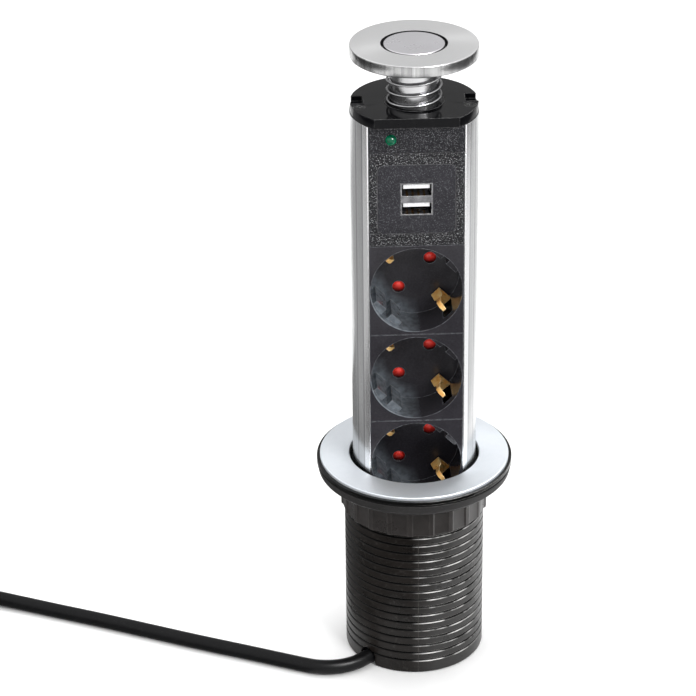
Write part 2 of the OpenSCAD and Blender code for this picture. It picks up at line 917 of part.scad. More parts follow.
// Three wires from the cord's end up the back of the column
module inner_wires() {
    r = wire_r;
    step = wire_step;
    y = sleeve_back + rail_t + r;
    bend_z = cord_end_z + wire_bend;
    wire_top = usb_mid_z - transformer_low;
    low = cord_end_z;
    for (k = [-1, 0, 1])
        color(["#6a3a1c", "#c9b43a", "#2f4fa0"][k + 1])
        union() {
            translate([k * step, 0, low]) cylinder(r = r, h = bend_z - low);
            translate([k * step, 0, bend_z]) sphere(r = r);
            bar_y(r, k * step, bend_z, 0, y);
            translate([k * step, y, bend_z]) sphere(r = r);
            translate([k * step, y, bend_z]) cylinder(r = r, h = wire_top - bend_z);
            translate([k * step, y, wire_top]) sphere(r = r);
        }
}

// Neck bush and catch

// Bush in the end cap that guides the neck
module neck_bush() {
    color("#e3e1da")
    difference() {
        union() {
            translate([0, 0, cap_z - bush_flange_t]) cylinder(r = bush_r, h = cap_t + bush_flange_t);
            translate([0, 0, cap_z - bush_flange_t]) cylinder(r = bush_flange_r, h = bush_flange_t);
            for (side = [-1, 1])
                translate([side * (lever_w / 2 + ear_gap + ear_w / 2) - ear_w / 2,
                    pivot_y - ear_half_y, pivot_z - ear_half_y])
                    cube([ear_w, 2 * ear_half_y, cap_z - pivot_z + ear_half_y]);
            box([-ear_span, bush_r, cap_z - bush_flange_t + 0.6], [ear_span, pivot_y + ear_half_y, cap_z]);
        }
        translate([0, 0, cap_z - bush_flange_t - cut])
            cylinder(r = neck_r + run_fit, h = cap_t + bush_flange_t + 2 * cut);
        translate([-ear_span - cut, pivot_y, pivot_z])
            rotate([0, 90, 0])
                cylinder(r = catch_pin_r, h = 2 * (ear_span + cut));
    }
}

// Pin of the catch
module catch_pin() {
    color(steel)
    translate([-ear_span, pivot_y, pivot_z]) rotate([0, 90, 0]) cylinder(r = catch_pin_r, h = 2 * ear_span);
}

// Lever whose nose enters the neck's window and holds the lid down
module catch_lever() {
    back = pivot_y + lever_eye_r;
    color(steel)
    difference() {
        union() {
            translate([-lever_w / 2, pivot_y, pivot_z]) rotate([0, 90, 0]) cylinder(r = lever_eye_r, h = lever_w);
            box([-lever_w / 2, back - lever_t, nose_z], [lever_w / 2, back, pivot_z]);
            box([-lever_w / 2, nose_tip_y, nose_z], [lever_w / 2, back, nose_z + nose_t]);
        }
        translate([-lever_w, pivot_y, pivot_z]) rotate([0, 90, 0]) cylinder(r = catch_pin_r + run_fit, h = 2 * lever_w);
    }
}

// Leaf that clicks against the catch
module catch_leaf() {
    y = pivot_y + lever_eye_r + leaf_gap;
    color(steel)
    box([-leaf_half, y, nose_z + 2], [leaf_half, y + leaf_t, cap_z]);
}

// Grip lid

// Brushed lid with the button's well
module lid_disc() {
    edge = 0.4;
    color(steel)
    rotate_extrude() polygon([
        [neck_r + seat_fit, lid_z], [lid_r - edge, lid_z], [lid_r, lid_z + edge], [lid_r, lid_top - edge],
        [lid_r - edge, lid_top], [well_r, lid_top], [well_r, lid_z + well_floor], [neck_r + seat_fit, lid_z + well_floor]
    ]);
}

// Neck tube with its flange in the lid, inner web, clip groove and window
module neck_tube() {
    top = lid_z + well_floor + neck_flange_t;
    color(steel)
    difference() {
        rotate_extrude() polygon([
            [neck_bore_r, neck_low], [neck_r, neck_low], [neck_r, clip_z], [neck_r - clip_depth, clip_z],
            [neck_r - clip_depth, clip_z + clip_t], [neck_r, clip_z + clip_t], [neck_r, lid_z + well_floor],
            [neck_flange_r, lid_z + well_floor], [neck_flange_r, top], [neck_bore_r, top],
            [neck_bore_r, web_z + web_t], [stem_r + run_fit, web_z + web_t],
            [stem_r + run_fit, web_z], [neck_bore_r, web_z]
        ]);
        box([-window_w / 2, 0, window_z], [window_w / 2, neck_r + cut, window_z + window_h]);
    }
}

// Ring clip that stops the neck under the bush
module neck_clip() {
    color(steel)
    translate([0, 0, clip_z + 0.05])
    difference() {
        cylinder(r = clip_r, h = clip_t - 0.1);
        translate([0, 0, -cut]) cylinder(r = neck_r - clip_depth + run_fit, h = clip_t + 2 * cut);
        box([-cut - clip_r, -1, -cut], [0, 1, clip_t + cut]);
    }
}

// Spring that lifts the lid
module lid_spring() {
    route = helix(spring_r, spring_wire, lid_gap, spring_curls, cap_top);
    gaps = [for (i = [4 : len(route) - 13]) norm(route[i] - route[i + curl_rings]) - spring_wire];
    echo(lid_spring_least_gap = min(gaps));
    color(steel) wound_spring(spring_r, spring_wire, lid_gap, spring_curls, cap_top);
}

// Button's round top
module button_cap() {
    bevel = 0.5;
    color(steel)
    rotate_extrude() polygon([
        [0, button_z], [button_r, button_z], [button_r, lid_top - bevel], [button_r - bevel, lid_top], [0, lid_top]
    ]);
}

// Stem with the cone that pushes the catch out of the window
module button_stem() {
    stop_top = web_z - seat_fit;
    color("#e3e1da")
    rotate_extrude() polygon([
        [0, stem_low], [stem_tip_r, stem_low], [stem_r, stem_low + stem_cone_h], [stem_r, stop_top - stem_stop_t],
        [stem_stop_r, stop_top - stem_stop_t], [stem_stop_r, stop_top], [stem_r, stop_top],
        [stem_r, button_z], [0, button_z]
    ]);
}

// Spring under the button
module button_spring() {
    z = web_z + web_t;
    color(steel) wound_spring(button_spring_r, button_spring_wire, button_z - z, button_spring_curls, z);
}

// Cord, coil and plug

// Cord from the tower's gland to the arch in the barrel's rim
module cord_drop() {
    color(black) tube(drop_route, cord_r, cord_sides, side_of(notch_way));
}

// Cord from the arch to the coil
module cord_run() {
    color(black) tube(run_route, cord_r, cord_sides);
}

// Centre of the coil's tube after u turns
function coil_radius(u) = coil_out_r - coil_step * (coil_turn_back - abs(u - coil_turn_back));
function coil_climb(u) =
    let (w = min(max((u - coil_loops) / 0.5, 0), 1))
    w * w * (3 - 2 * w);
function coil_point(u) = [
    coil_x + coil_radius(u) * cos(coil_start + 360 * u),
    coil_y + coil_radius(u) * sin(coil_start + 360 * u),
    coil_z + coil_layer * coil_climb(u)
];
function coil_heading(u) =
    let (d = 0.001)
    unit(coil_point(u + d) - coil_point(u - d));
coil_first = coil_point(0) - cord_d * coil_heading(0);
coil_last = coil_point(coil_turns) + cord_d * coil_heading(coil_turns);
coil_route = concat(
    [coil_first],
    [for (k = [0 : coil_rings * coil_turns]) coil_point(k / coil_rings)],
    [coil_last]
);

// Least distance between tube surfaces of the coil, on points more than half a turn apart
function coil_gap() =
    let (n = len(coil_route))
    min([for (i = [0 : n - 1], j = [i + coil_rings / 2 : n - 1]) if (j < n) norm(coil_route[i] - coil_route[j])])
    - 2 * coil_tube_r;

module cord_coil() {
    echo(coil_least_gap = coil_gap());
    color(black) tube(coil_route, coil_tube_r, coil_sides);
}

// Where the plug lies: its cord comes from the coil's end
plug_heading = coil_heading(coil_turns);
relief_start = coil_last + tail_len * plug_heading;
plug_centre = relief_start + (relief_len - relief_sunk + plug_r) * plug_heading;
plug_angle = atan2(plug_heading[1], plug_heading[0]);

// Short straight length between the coil and the plug's strain relief
module cord_tail() {
    color(black) tube([coil_last, (coil_last + relief_start) / 2, relief_start], cord_r, cord_sides);
}

// Tie round the coil's turns
module coil_tie() {
    high = coil_z + coil_layer + coil_tube_r;
    color(black)
    translate([coil_x, coil_y, 0])
    rotate([0, 0, tie_angle])
    difference() {
        box([tie_in_r - tie_t, -tie_w / 2, tie_low], [tie_out_r + tie_t, tie_w / 2, high + tie_t]);
        box([tie_in_r, -tie_w, tie_low + tie_t], [tie_out_r, tie_w, high]);
    }
}

// Copies placed in the plug's frame: cord from -X, pins up
module at_plug() {
    translate([plug_centre[0], plug_centre[1], 0]) rotate([0, 0, plug_angle]) children();
}

// Moulded plug with side grooves and strain relief
module plug_body() {
    groove_half = guide_half + 0.4;
    tongue_half = guide_slot_half - 0.4;
    color(black)
    at_plug()
    difference() {
        union() {
            rotate_extrude() polygon([
                [0, 0], [plug_r - plug_edge, 0], [plug_r, plug_edge],
                [plug_r, plug_h - 1], [plug_r - 1, plug_h], [0, plug_h]
            ]);
            translate([-plug_r + relief_sunk - relief_len, 0, coil_last[2]])
                rotate([0, 90, 0])
                    cylinder(r1 = relief_r1, r2 = relief_r2, h = relief_len);
        }
        for (side = [-1, 1]) {
            for (way = [-1, 1])
                rotate([0, 0, 45 + 90 * side + 90])
                    box([guide_in - 0.4, min(way * tongue_half, way * groove_half), plug_h - recess_depth],
                        [plug_r + cut, max(way * tongue_half, way * groove_half), plug_h + cut]);
            rotate([0, 0, 45 + 90 * side])
                box([plug_r - 1 - plug_strip_t, -plug_strip_w / 2 - seat_fit, plug_h - plug_strip_h],
                    [plug_r + cut, plug_strip_w / 2 + seat_fit, plug_h + cut]);
            rotate([0, 0, 45]) translate([side * pin_at, 0, plug_h - pin_sunk])
                cylinder(r = plug_pin_d / 2, h = pin_sunk + cut);
        }
    }
}

// Two round pins
module plug_pins() {
    color(steel)
    at_plug()
    for (side = [-1, 1])
        rotate([0, 0, 45])
            translate([side * pin_at, 0, plug_h - pin_sunk])
                union() {
                    cylinder(r = plug_pin_d / 2, h = pin_sunk + plug_pin_len - 1);
                    translate([0, 0, pin_sunk + plug_pin_len - 1])
                        cylinder(r1 = plug_pin_d / 2, r2 = plug_pin_d / 2 - 0.8, h = 1);
                }
}

// Earth contacts on the plug's sides
module plug_earth_strips() {
    color(brass)
    at_plug()
    for (side = [-1, 1])
        rotate([0, 0, 45 + 90 * side])
            box([plug_r - 1 - plug_strip_t, -plug_strip_w / 2, plug_h - plug_strip_h],
                [plug_r - 1, plug_strip_w / 2, plug_h - 1]);
}

barrel();
trim_ring();
flange_gasket();
guide_ring();
clamp_washer();
clamp_nut();
tower_profile();
foot_collar();
end_cap();
end_cap_screws();
bottom_cap();
bottom_screws();
cable_gland();
foot_plate();
led_plate();
led_lens();
led_board();
usb_plate();
usb_panel();
usb_shell();
usb_tongues();
usb_contacts();
charger_board();
charger_parts();
socket_1();
socket_2();
socket_3();
shutter_1();
shutter_2();
shutter_3();
earth_strap_1();
earth_strap_2();
earth_strap_3();
contact_carrier_1();
contact_carrier_2();
contact_carrier_3();
live_rail();
neutral_rail();
inner_wires();
neck_bush();
catch_pin();
catch_leaf();
catch_lever();
lid_disc();
neck_tube();
neck_clip();
lid_spring();
button_cap();
button_stem();
button_spring();
cord_drop();
cord_run();
cord_coil();
cord_tail();
coil_tie();
plug_body();
plug_pins();
plug_earth_strips();
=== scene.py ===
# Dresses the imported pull-up socket tower: camera, cord, finer pieces, materials, floor and lights.
# Lengths in the settings are millimetres, angles are degrees, unless a note says otherwise.
import math

import bmesh
import bpy
from mathutils import Matrix, Vector


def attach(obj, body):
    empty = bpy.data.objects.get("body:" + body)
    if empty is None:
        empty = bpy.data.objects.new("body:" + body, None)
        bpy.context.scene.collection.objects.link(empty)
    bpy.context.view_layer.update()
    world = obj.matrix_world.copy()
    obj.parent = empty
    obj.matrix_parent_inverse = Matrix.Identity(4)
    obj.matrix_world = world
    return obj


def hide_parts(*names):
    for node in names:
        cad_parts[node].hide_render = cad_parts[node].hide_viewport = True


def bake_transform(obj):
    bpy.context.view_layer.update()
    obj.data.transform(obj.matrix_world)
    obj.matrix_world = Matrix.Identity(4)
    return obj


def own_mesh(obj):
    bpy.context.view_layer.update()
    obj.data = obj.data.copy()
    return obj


mm = 0.001
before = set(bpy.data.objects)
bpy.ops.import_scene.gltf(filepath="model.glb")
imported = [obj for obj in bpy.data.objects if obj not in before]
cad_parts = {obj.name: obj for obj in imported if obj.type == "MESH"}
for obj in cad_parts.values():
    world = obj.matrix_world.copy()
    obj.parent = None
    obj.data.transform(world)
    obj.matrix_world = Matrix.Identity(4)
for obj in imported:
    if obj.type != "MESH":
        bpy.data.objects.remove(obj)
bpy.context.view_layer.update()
print("frame loaded:", len(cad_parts), "nodes")


# Camera

camera = {
    "distance": 1062,
    "height": 707,
    "pitch": 27.74,  # below the horizon
    "turn": 3.48,  # how far it stands to the left of straight ahead
    "swing": 1.37,  # turned left, so that the tower stands right of the middle
    "focal": 2764,  # pixels
    "imageWidth": 696,  # pixels
    "sensor": 36,
}


def makeCamera(s):
    data = bpy.data.cameras.new("photoCamera")
    data.sensor_width = s["sensor"]
    data.lens = s["focal"] / s["imageWidth"] * s["sensor"]
    data.clip_start = 0.05
    data.clip_end = 50
    eye = bpy.data.objects.new("photoCamera", data)
    bpy.context.scene.collection.objects.link(eye)
    turn = math.radians(s["turn"])
    place = Matrix.Translation(Vector((
        -s["distance"] * math.sin(turn) * mm,
        -s["distance"] * math.cos(turn) * mm,
        s["height"] * mm,
    )))
    aim = Matrix.Rotation(-turn, 4, "Z") @ Matrix.Rotation(math.radians(90 - s["pitch"]), 4, "X")
    aim = aim @ Matrix.Rotation(math.radians(s["swing"]), 4, "Y")
    eye.matrix_world = place @ aim
    bpy.context.scene.camera = eye


makeCamera(camera)
print("camera placed")


# Mesh helpers

def newPiece(name, mesh, material=None):
    piece = bpy.data.objects.new(name, mesh)
    bpy.context.scene.collection.objects.link(piece)
    if material:
        mesh.materials.append(material)
    return piece


def smoothBy(piece, angle):
    piece.data.shade_smooth()
    piece.data.set_sharp_from_angle(angle=math.radians(angle))


def meshFrom(name, points, faces):
    mesh = bpy.data.meshes.new(name)
    mesh.from_pydata(points, [], faces)
    bm = bmesh.new()
    bm.from_mesh(mesh)
    bmesh.ops.recalc_face_normals(bm, faces=bm.faces)
    bm.to_mesh(mesh)
    bm.free()
    return mesh


# Rounds the corners of a closed outline; each point is (x, y, radius)
def roundOutline(corners):
    steps = 4
    out = []
    count = len(corners)
    for i, (x, y, radius) in enumerate(corners):
        here = Vector((x, y))
        if radius <= 0:
            out.append(here)
            continue
        before = Vector(corners[i - 1][:2]) - here
        after = Vector(corners[(i + 1) % count][:2]) - here
        half = before.angle(after) / 2
        reach = min(radius / math.tan(half), before.length * 0.49, after.length * 0.49)
        bend = reach * math.tan(half)
        middle = here + (before.normalized() + after.normalized()).normalized() * (bend / math.sin(half))
        first = here + before.normalized() * reach - middle
        last = here + after.normalized() * reach - middle
        sweep = first.angle_signed(last)
        for k in range(steps + 1):
            turned = first.copy()
            turned.rotate(Matrix.Rotation(-sweep * k / steps, 2))
            out.append(middle + turned)
    return out


# Turns a closed outline of (radius, height, corner) round the Z axis, in millimetres
def turnedPiece(name, corners, material, steps=160):
    outline = roundOutline(corners)
    rows = len(outline)
    points = []
    for k in range(steps):
        a = 2 * math.pi * k / steps
        for q in outline:
            r = max(q.x, 0)
            points.append((r * math.cos(a) * mm, r * math.sin(a) * mm, q.y * mm))
    faces = []
    for k in range(steps):
        n = (k + 1) % steps
        for j in range(rows):
            m = (j + 1) % rows
            faces.append((k * rows + j, n * rows + j, n * rows + m, k * rows + m))
    mesh = meshFrom(name, points, faces)
    bm = bmesh.new()
    bm.from_mesh(mesh)
    bmesh.ops.remove_doubles(bm, verts=bm.verts, dist=1e-6)
    bmesh.ops.dissolve_degenerate(bm, edges=bm.edges, dist=1e-7)
    bmesh.ops.recalc_face_normals(bm, faces=bm.faces)
    bm.to_mesh(mesh)
    bm.free()
    piece = newPiece(name, mesh, material)
    smoothBy(piece, 40)
    return piece


# A round tube along a route in millimetres
def sweepTube(name, route, radius, sides, material):
    count = len(route)
    side = Vector((0, 0, 1)).cross(route[1] - route[0])
    if side.length < 1e-6:
        side = Vector((1, 0, 0))
    side.normalize()
    points = []
    for i, p in enumerate(route):
        along = (route[min(i + 1, count - 1)] - route[max(i - 1, 0)]).normalized()
        side = (side - along * side.dot(along)).normalized()
        up = along.cross(side)
        for k in range(sides):
            a = 2 * math.pi * k / sides
            points.append((p + radius * (math.cos(a) * side + math.sin(a) * up)) * mm)
    faces = []
    for i in range(count - 1):
        for k in range(sides):
            n = (k + 1) % sides
            faces.append((i * sides + k, i * sides + n, (i + 1) * sides + n, (i + 1) * sides + k))
    faces.append(tuple(range(sides - 1, -1, -1)))
    faces.append(tuple((count - 1) * sides + k for k in range(sides)))
    piece = newPiece(name, meshFrom(name, points, faces), material)
    smoothBy(piece, 50)
    return piece


# A smooth line through given points
def smoothLine(points, perSpan):
    out = []
    count = len(points)
    for i in range(count - 1):
        p0 = points[max(i - 1, 0)]
        p1 = points[i]
        p2 = points[i + 1]
        p3 = points[min(i + 2, count - 1)]
        for k in range(perSpan):
            t = k / perSpan
            out.append(0.5 * (
                2 * p1 + (p2 - p0) * t
                + (2 * p0 - 5 * p1 + 4 * p2 - p3) * t * t
                + (3 * p1 - p0 - 3 * p2 + p3) * t * t * t
            ))
    out.append(points[-1].copy())
    return out


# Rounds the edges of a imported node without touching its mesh
def softenNode(node, width):
    node.data.shade_smooth()
    weld = node.modifiers.new("weld", "WELD")
    weld.merge_threshold = 0.02 * mm
    bevel = node.modifiers.new("edges", "BEVEL")
    bevel.width = width * mm
    bevel.segments = 2
    bevel.limit_method = "ANGLE"
    bevel.angle_limit = math.radians(30)
    bevel.use_clamp_overlap = True
    weights = node.modifiers.new("shading", "WEIGHTED_NORMAL")
    weights.keep_sharp = False


# Shared shader groups

def makeGroup(name, inputs, outputs):
    group = bpy.data.node_groups.new(name, "ShaderNodeTree")
    for label, kind, value in inputs:
        socket = group.interface.new_socket(label, in_out="INPUT", socket_type="NodeSocket" + kind)
        socket.default_value = value
    for label, kind in outputs:
        group.interface.new_socket(label, in_out="OUTPUT", socket_type="NodeSocket" + kind)
    entry = group.nodes.new("NodeGroupInput")
    result = group.nodes.new("NodeGroupOutput")
    return group, entry, result


def addNode(tree, kind, **values):
    node = tree.nodes.new("ShaderNode" + kind)
    for key, value in values.items():
        setattr(node, key, value)
    return node


def addMath(tree, operation, a, b=None, clamp=False):
    node = addNode(tree, "Math", operation=operation, use_clamp=clamp)
    for socket, value in zip(node.inputs, (a, b)):
        if value is None:
            continue
        if isinstance(value, (int, float)):
            socket.default_value = value
        else:
            tree.links.new(value, socket)
    return node.outputs[0]


# Product of two or more values
def addTimes(tree, first, *others):
    for other in others:
        first = addMath(tree, "MULTIPLY", first, other)
    return first


def addNoise(tree, vector, scale, detail, rough=0.5):
    node = addNode(tree, "TexNoise")
    tree.links.new(vector, node.inputs["Vector"])
    if isinstance(scale, (int, float)):
        node.inputs["Scale"].default_value = scale
    else:
        tree.links.new(scale, node.inputs["Scale"])
    node.inputs["Detail"].default_value = detail
    node.inputs["Roughness"].default_value = rough
    return node.outputs["Fac"]


def addRange(tree, value, low, high, toLow, toHigh):
    node = addNode(tree, "MapRange")
    tree.links.new(value, node.inputs["Value"])
    for label, number in (("From Min", low), ("From Max", high), ("To Min", toLow), ("To Max", toHigh)):
        if isinstance(number, (int, float)):
            node.inputs[label].default_value = number
        else:
            tree.links.new(number, node.inputs[label])
    return node.outputs["Result"]


def addMix(tree, share, a, b):
    node = addNode(tree, "Mix", data_type="RGBA")
    tree.links.new(share, node.inputs[0])
    for socket, value in ((node.inputs[6], a), (node.inputs[7], b)):
        if isinstance(value, tuple):
            socket.default_value = value
        else:
            tree.links.new(value, socket)
    return node.outputs[2]


# The object's own place in millimetres
def placeInMm(tree):
    place = addNode(tree, "TexCoord")
    scaled = addNode(tree, "VectorMath", operation="SCALE")
    tree.links.new(place.outputs["Object"], scaled.inputs[0])
    scaled.inputs["Scale"].default_value = 1000
    return scaled.outputs[0]


def splitPlace(tree):
    split = addNode(tree, "SeparateXYZ")
    tree.links.new(placeInMm(tree), split.inputs[0])
    return split.outputs


# Distance from the middle of two measures
def addLength(tree, a, b):
    return addMath(tree, "SQRT", addMath(tree, "ADD", addTimes(tree, a, a), addTimes(tree, b, b)))


# Moulded surface: pebbled height, flecks that catch the light, slow changes of shade
def makeMouldGrain():
    tree, entry, result = makeGroup(
        "mouldGrain",
        [
            ("Color", "Color", (0.05, 0.05, 0.05, 1)),
            ("Grain Size", "Float", 0.5),
            ("Fleck Color", "Color", (0.3, 0.3, 0.3, 1)),
            ("Flecks", "Float", 0.3),
            ("Roughness", "Float", 0.5),
            ("Cloudiness", "Float", 0.1),
        ],
        [("Color", "Color"), ("Roughness", "Float"), ("Height", "Float")],
    )
    place = placeInMm(tree)
    finer = addMath(tree, "DIVIDE", 1.0, entry.outputs["Grain Size"])
    grain = addNoise(tree, place, finer, 2)
    clouds = addNoise(tree, place, 0.08, 3)
    coarse = addTimes(tree, finer, 0.62)
    flecks = addRange(tree, addNoise(tree, place, coarse, 1), 0.6, 0.7, 0, 1)
    share = addMath(tree, "MULTIPLY", flecks, entry.outputs["Flecks"], clamp=True)
    shade = addTimes(tree, addRange(tree, clouds, 0.3, 0.7, -1, 1), entry.outputs["Cloudiness"])
    factor = addMath(tree, "ADD", shade, addRange(tree, grain, 0.3, 0.7, 0.85, 1.15))
    tinted = addNode(tree, "VectorMath", operation="SCALE")
    tree.links.new(entry.outputs["Color"], tinted.inputs[0])
    tree.links.new(factor, tinted.inputs["Scale"])
    colored = addMix(tree, share, tinted.outputs[0], entry.outputs["Fleck Color"])
    tree.links.new(colored, result.inputs["Color"])
    spread = addRange(tree, clouds, 0.3, 0.7, -0.05, 0.05)
    tree.links.new(addMath(tree, "ADD", entry.outputs["Roughness"], spread), result.inputs["Roughness"])
    tree.links.new(grain, result.inputs["Height"])
    return tree


# Straight brush lines along Z, as on an extrusion
def makeDrawnLines():
    tree, entry, result = makeGroup(
        "drawnLines",
        [("Lines per mm", "Float", 6.0)],
        [("Shade", "Float"), ("Height", "Float")],
    )
    squeeze = addNode(tree, "VectorMath", operation="MULTIPLY")
    tree.links.new(placeInMm(tree), squeeze.inputs[0])
    squeeze.inputs[1].default_value = (1, 1, 0.01)
    lines = addNoise(tree, squeeze.outputs[0], entry.outputs["Lines per mm"], 3, 0.6)
    broad = addNoise(tree, squeeze.outputs[0], 0.9, 2)
    both = addMath(tree, "ADD", addTimes(tree, lines, 0.6), addTimes(tree, broad, 0.4))
    tree.links.new(both, result.inputs["Shade"])
    tree.links.new(lines, result.inputs["Height"])
    return tree


# Fine rings round the Z axis, as a lathe leaves them
def makeTurnedLines():
    tree, entry, result = makeGroup(
        "turnedLines",
        [("Lines per mm", "Float", 5.0)],
        [("Shade", "Float"), ("Height", "Float")],
    )
    place = placeInMm(tree)
    x, y, z = splitPlace(tree)
    join = addNode(tree, "CombineXYZ")
    tree.links.new(addLength(tree, x, y), join.inputs[0])
    tree.links.new(z, join.inputs[2])
    rings = addNoise(tree, join.outputs[0], entry.outputs["Lines per mm"], 3, 0.6)
    breaks = addNoise(tree, place, 0.35, 2)
    mixed = addMath(tree, "ADD", addTimes(tree, rings, 0.75), addTimes(tree, breaks, 0.25))
    tree.links.new(mixed, result.inputs["Shade"])
    tree.links.new(rings, result.inputs["Height"])
    return tree


# Rubbed edges, and painted highlights along edges, broken up by noise
def makeEdgeWearAndGlint():
    tree, entry, result = makeGroup(
        "edgeWearAndGlint",
        [("Width", "Float", 0.0004), ("Amount", "Float", 0.5)],
        [("Mask", "Float")],
    )
    rounded = addNode(tree, "Bevel")
    rounded.samples = 4
    tree.links.new(entry.outputs["Width"], rounded.inputs["Radius"])
    flat = addNode(tree, "NewGeometry")
    facing = addNode(tree, "VectorMath", operation="DOT_PRODUCT")
    tree.links.new(rounded.outputs[0], facing.inputs[0])
    tree.links.new(flat.outputs["Normal"], facing.inputs[1])
    edge = addRange(tree, facing.outputs["Value"], 0.999, 0.9, 0, 1)
    broken = addRange(tree, addNoise(tree, placeInMm(tree), 0.7, 3), 0.35, 0.65, 0.3, 1)
    mask = addMath(tree, "MULTIPLY", addTimes(tree, edge, broken), entry.outputs["Amount"], clamp=True)
    tree.links.new(mask, result.inputs["Mask"])
    return tree


# Thin handling marks that change the gloss
def makeHandling():
    tree, entry, result = makeGroup(
        "handling",
        [("Size", "Float", 6.0), ("Low", "Float", 0.3), ("High", "Float", 0.4)],
        [("Value", "Float")],
    )
    smear = addNoise(tree, placeInMm(tree), addMath(tree, "DIVIDE", 1.0, entry.outputs["Size"]), 4, 0.6)
    gloss = addRange(tree, smear, 0.3, 0.7, entry.outputs["Low"], entry.outputs["High"])
    tree.links.new(gloss, result.inputs["Value"])
    return tree


# Where the sockets, their pin holes and their recess walls lie
sockets = {
    "count": 3,
    "lowest": 101.45,
    "pitch": 41.9,
    "pinReach": 9.5,
    "domeRadius": 2.9,
    "recess": 19.5,
    # where the painted reflection on the recess wall begins, and which way it leans
    "paintedSheenFrom": 12,
    "paintedSheenWay": -0.72,
}


# Place inside the nearest socket: across and up from its middle, in millimetres
def addSocketPlace(tree, entry):
    x, y, z = splitPlace(tree)
    lowest = entry.outputs["Lowest"]
    halfPitch = addTimes(tree, entry.outputs["Pitch"], 0.5)
    wrapped = addNode(tree, "Math", operation="WRAP")
    tree.links.new(z, wrapped.inputs[0])
    tree.links.new(addMath(tree, "ADD", lowest, halfPitch), wrapped.inputs[1])
    tree.links.new(addMath(tree, "SUBTRACT", lowest, halfPitch), wrapped.inputs[2])
    return x, addMath(tree, "SUBTRACT", wrapped.outputs[0], lowest)


# Domes at the pin holes of each socket: height for a bump, and a mask under each dome's middle for painted
# shade on its lower side
def makePinDomes():
    tree, entry, result = makeGroup(
        "pinDomes",
        [
            ("Lowest", "Float", sockets["lowest"]),
            ("Pitch", "Float", sockets["pitch"]),
            ("Reach", "Float", sockets["pinReach"]),
            ("Radius", "Float", sockets["domeRadius"]),
        ],
        [("Height", "Float"), ("Lower Shade", "Float")],
    )
    across, up = addSocketPlace(tree, entry)
    diagonal = math.sqrt(0.5)
    along = addTimes(tree, addMath(tree, "ADD", across, up), diagonal)
    beside = addTimes(tree, addMath(tree, "SUBTRACT", across, up), diagonal)
    sign = addMath(tree, "SIGN", along)
    off = addMath(tree, "SUBTRACT", addMath(tree, "ABSOLUTE", along), entry.outputs["Reach"])
    share = addMath(tree, "DIVIDE", addLength(tree, off, beside), entry.outputs["Radius"], clamp=True)
    tree.links.new(addMath(tree, "SUBTRACT", 1.0, addTimes(tree, share, share)), result.inputs["Height"])
    rise = addMath(tree, "SUBTRACT", addTimes(tree, off, sign), beside)
    below = addMath(tree, "DIVIDE", rise, entry.outputs["Radius"])
    tree.links.new(addRange(tree, below, 0.5, -1.2, 0, 1), result.inputs["Lower Shade"])
    return tree


# Painted reflection: a lighter colour painted on the recess wall of each socket, on the side that faces up
# towards the light
def makePaintedWallSheen():
    tree, entry, result = makeGroup(
        "paintedWallSheen",
        [
            ("Lowest", "Float", sockets["lowest"]),
            ("Pitch", "Float", sockets["pitch"]),
            ("Radius", "Float", sockets["recess"]),
            ("Inner", "Float", sockets["paintedSheenFrom"]),
        ],
        [("Mask", "Float")],
    )
    across, up = addSocketPlace(tree, entry)
    radius = addLength(tree, across, up)
    leaning = addTimes(tree, addMath(tree, "ADD", across, up), sockets["paintedSheenWay"])
    aimed = addRange(tree, addMath(tree, "DIVIDE", leaning, radius), 0.62, 1.0, 0, 1)
    rim = addRange(tree, radius, entry.outputs["Inner"], entry.outputs["Radius"], 0, 1)
    inside = addMath(tree, "LESS_THAN", radius, addMath(tree, "ADD", entry.outputs["Radius"], 0.4))
    broken = addRange(tree, addNoise(tree, placeInMm(tree), 0.4, 2), 0.35, 0.65, 0.5, 1)
    tree.links.new(addTimes(tree, aimed, rim, inside, broken), result.inputs["Mask"])
    return tree


# Screwed barrel: how deep a point lies in a groove, for painted shade in the grooves, the glossy flange,
# the line where the mould parts, the side that faces the lamps, for painted light, and painted glints on
# the upward side of the grooves
tone = {
    "crest": 31,
    "grooveDepth": 0.9,
    "flangeHeight": 94.4,
    "lineWidth": 0.14,
    # where the painted light on the side facing the lamps starts and ends
    "paintedLitFrom": -3,
    "paintedLitTo": 8,
    # where the painted glints on the thread show, across the barrel
    "glintFrom": -3,
    "glintTo": 5,
    "fadeFrom": 18,
    "fadeTo": 31,
    # where the painted shade in a groove starts and ends
    "darkFrom": 0.06,  # shares of the depth of a groove
    "darkTo": 0.3,
    "glintDeep": 0.5,
    "glintHigh": 0.25,
    "glintLean": 0.15,  # how far upward a glinting face looks
}


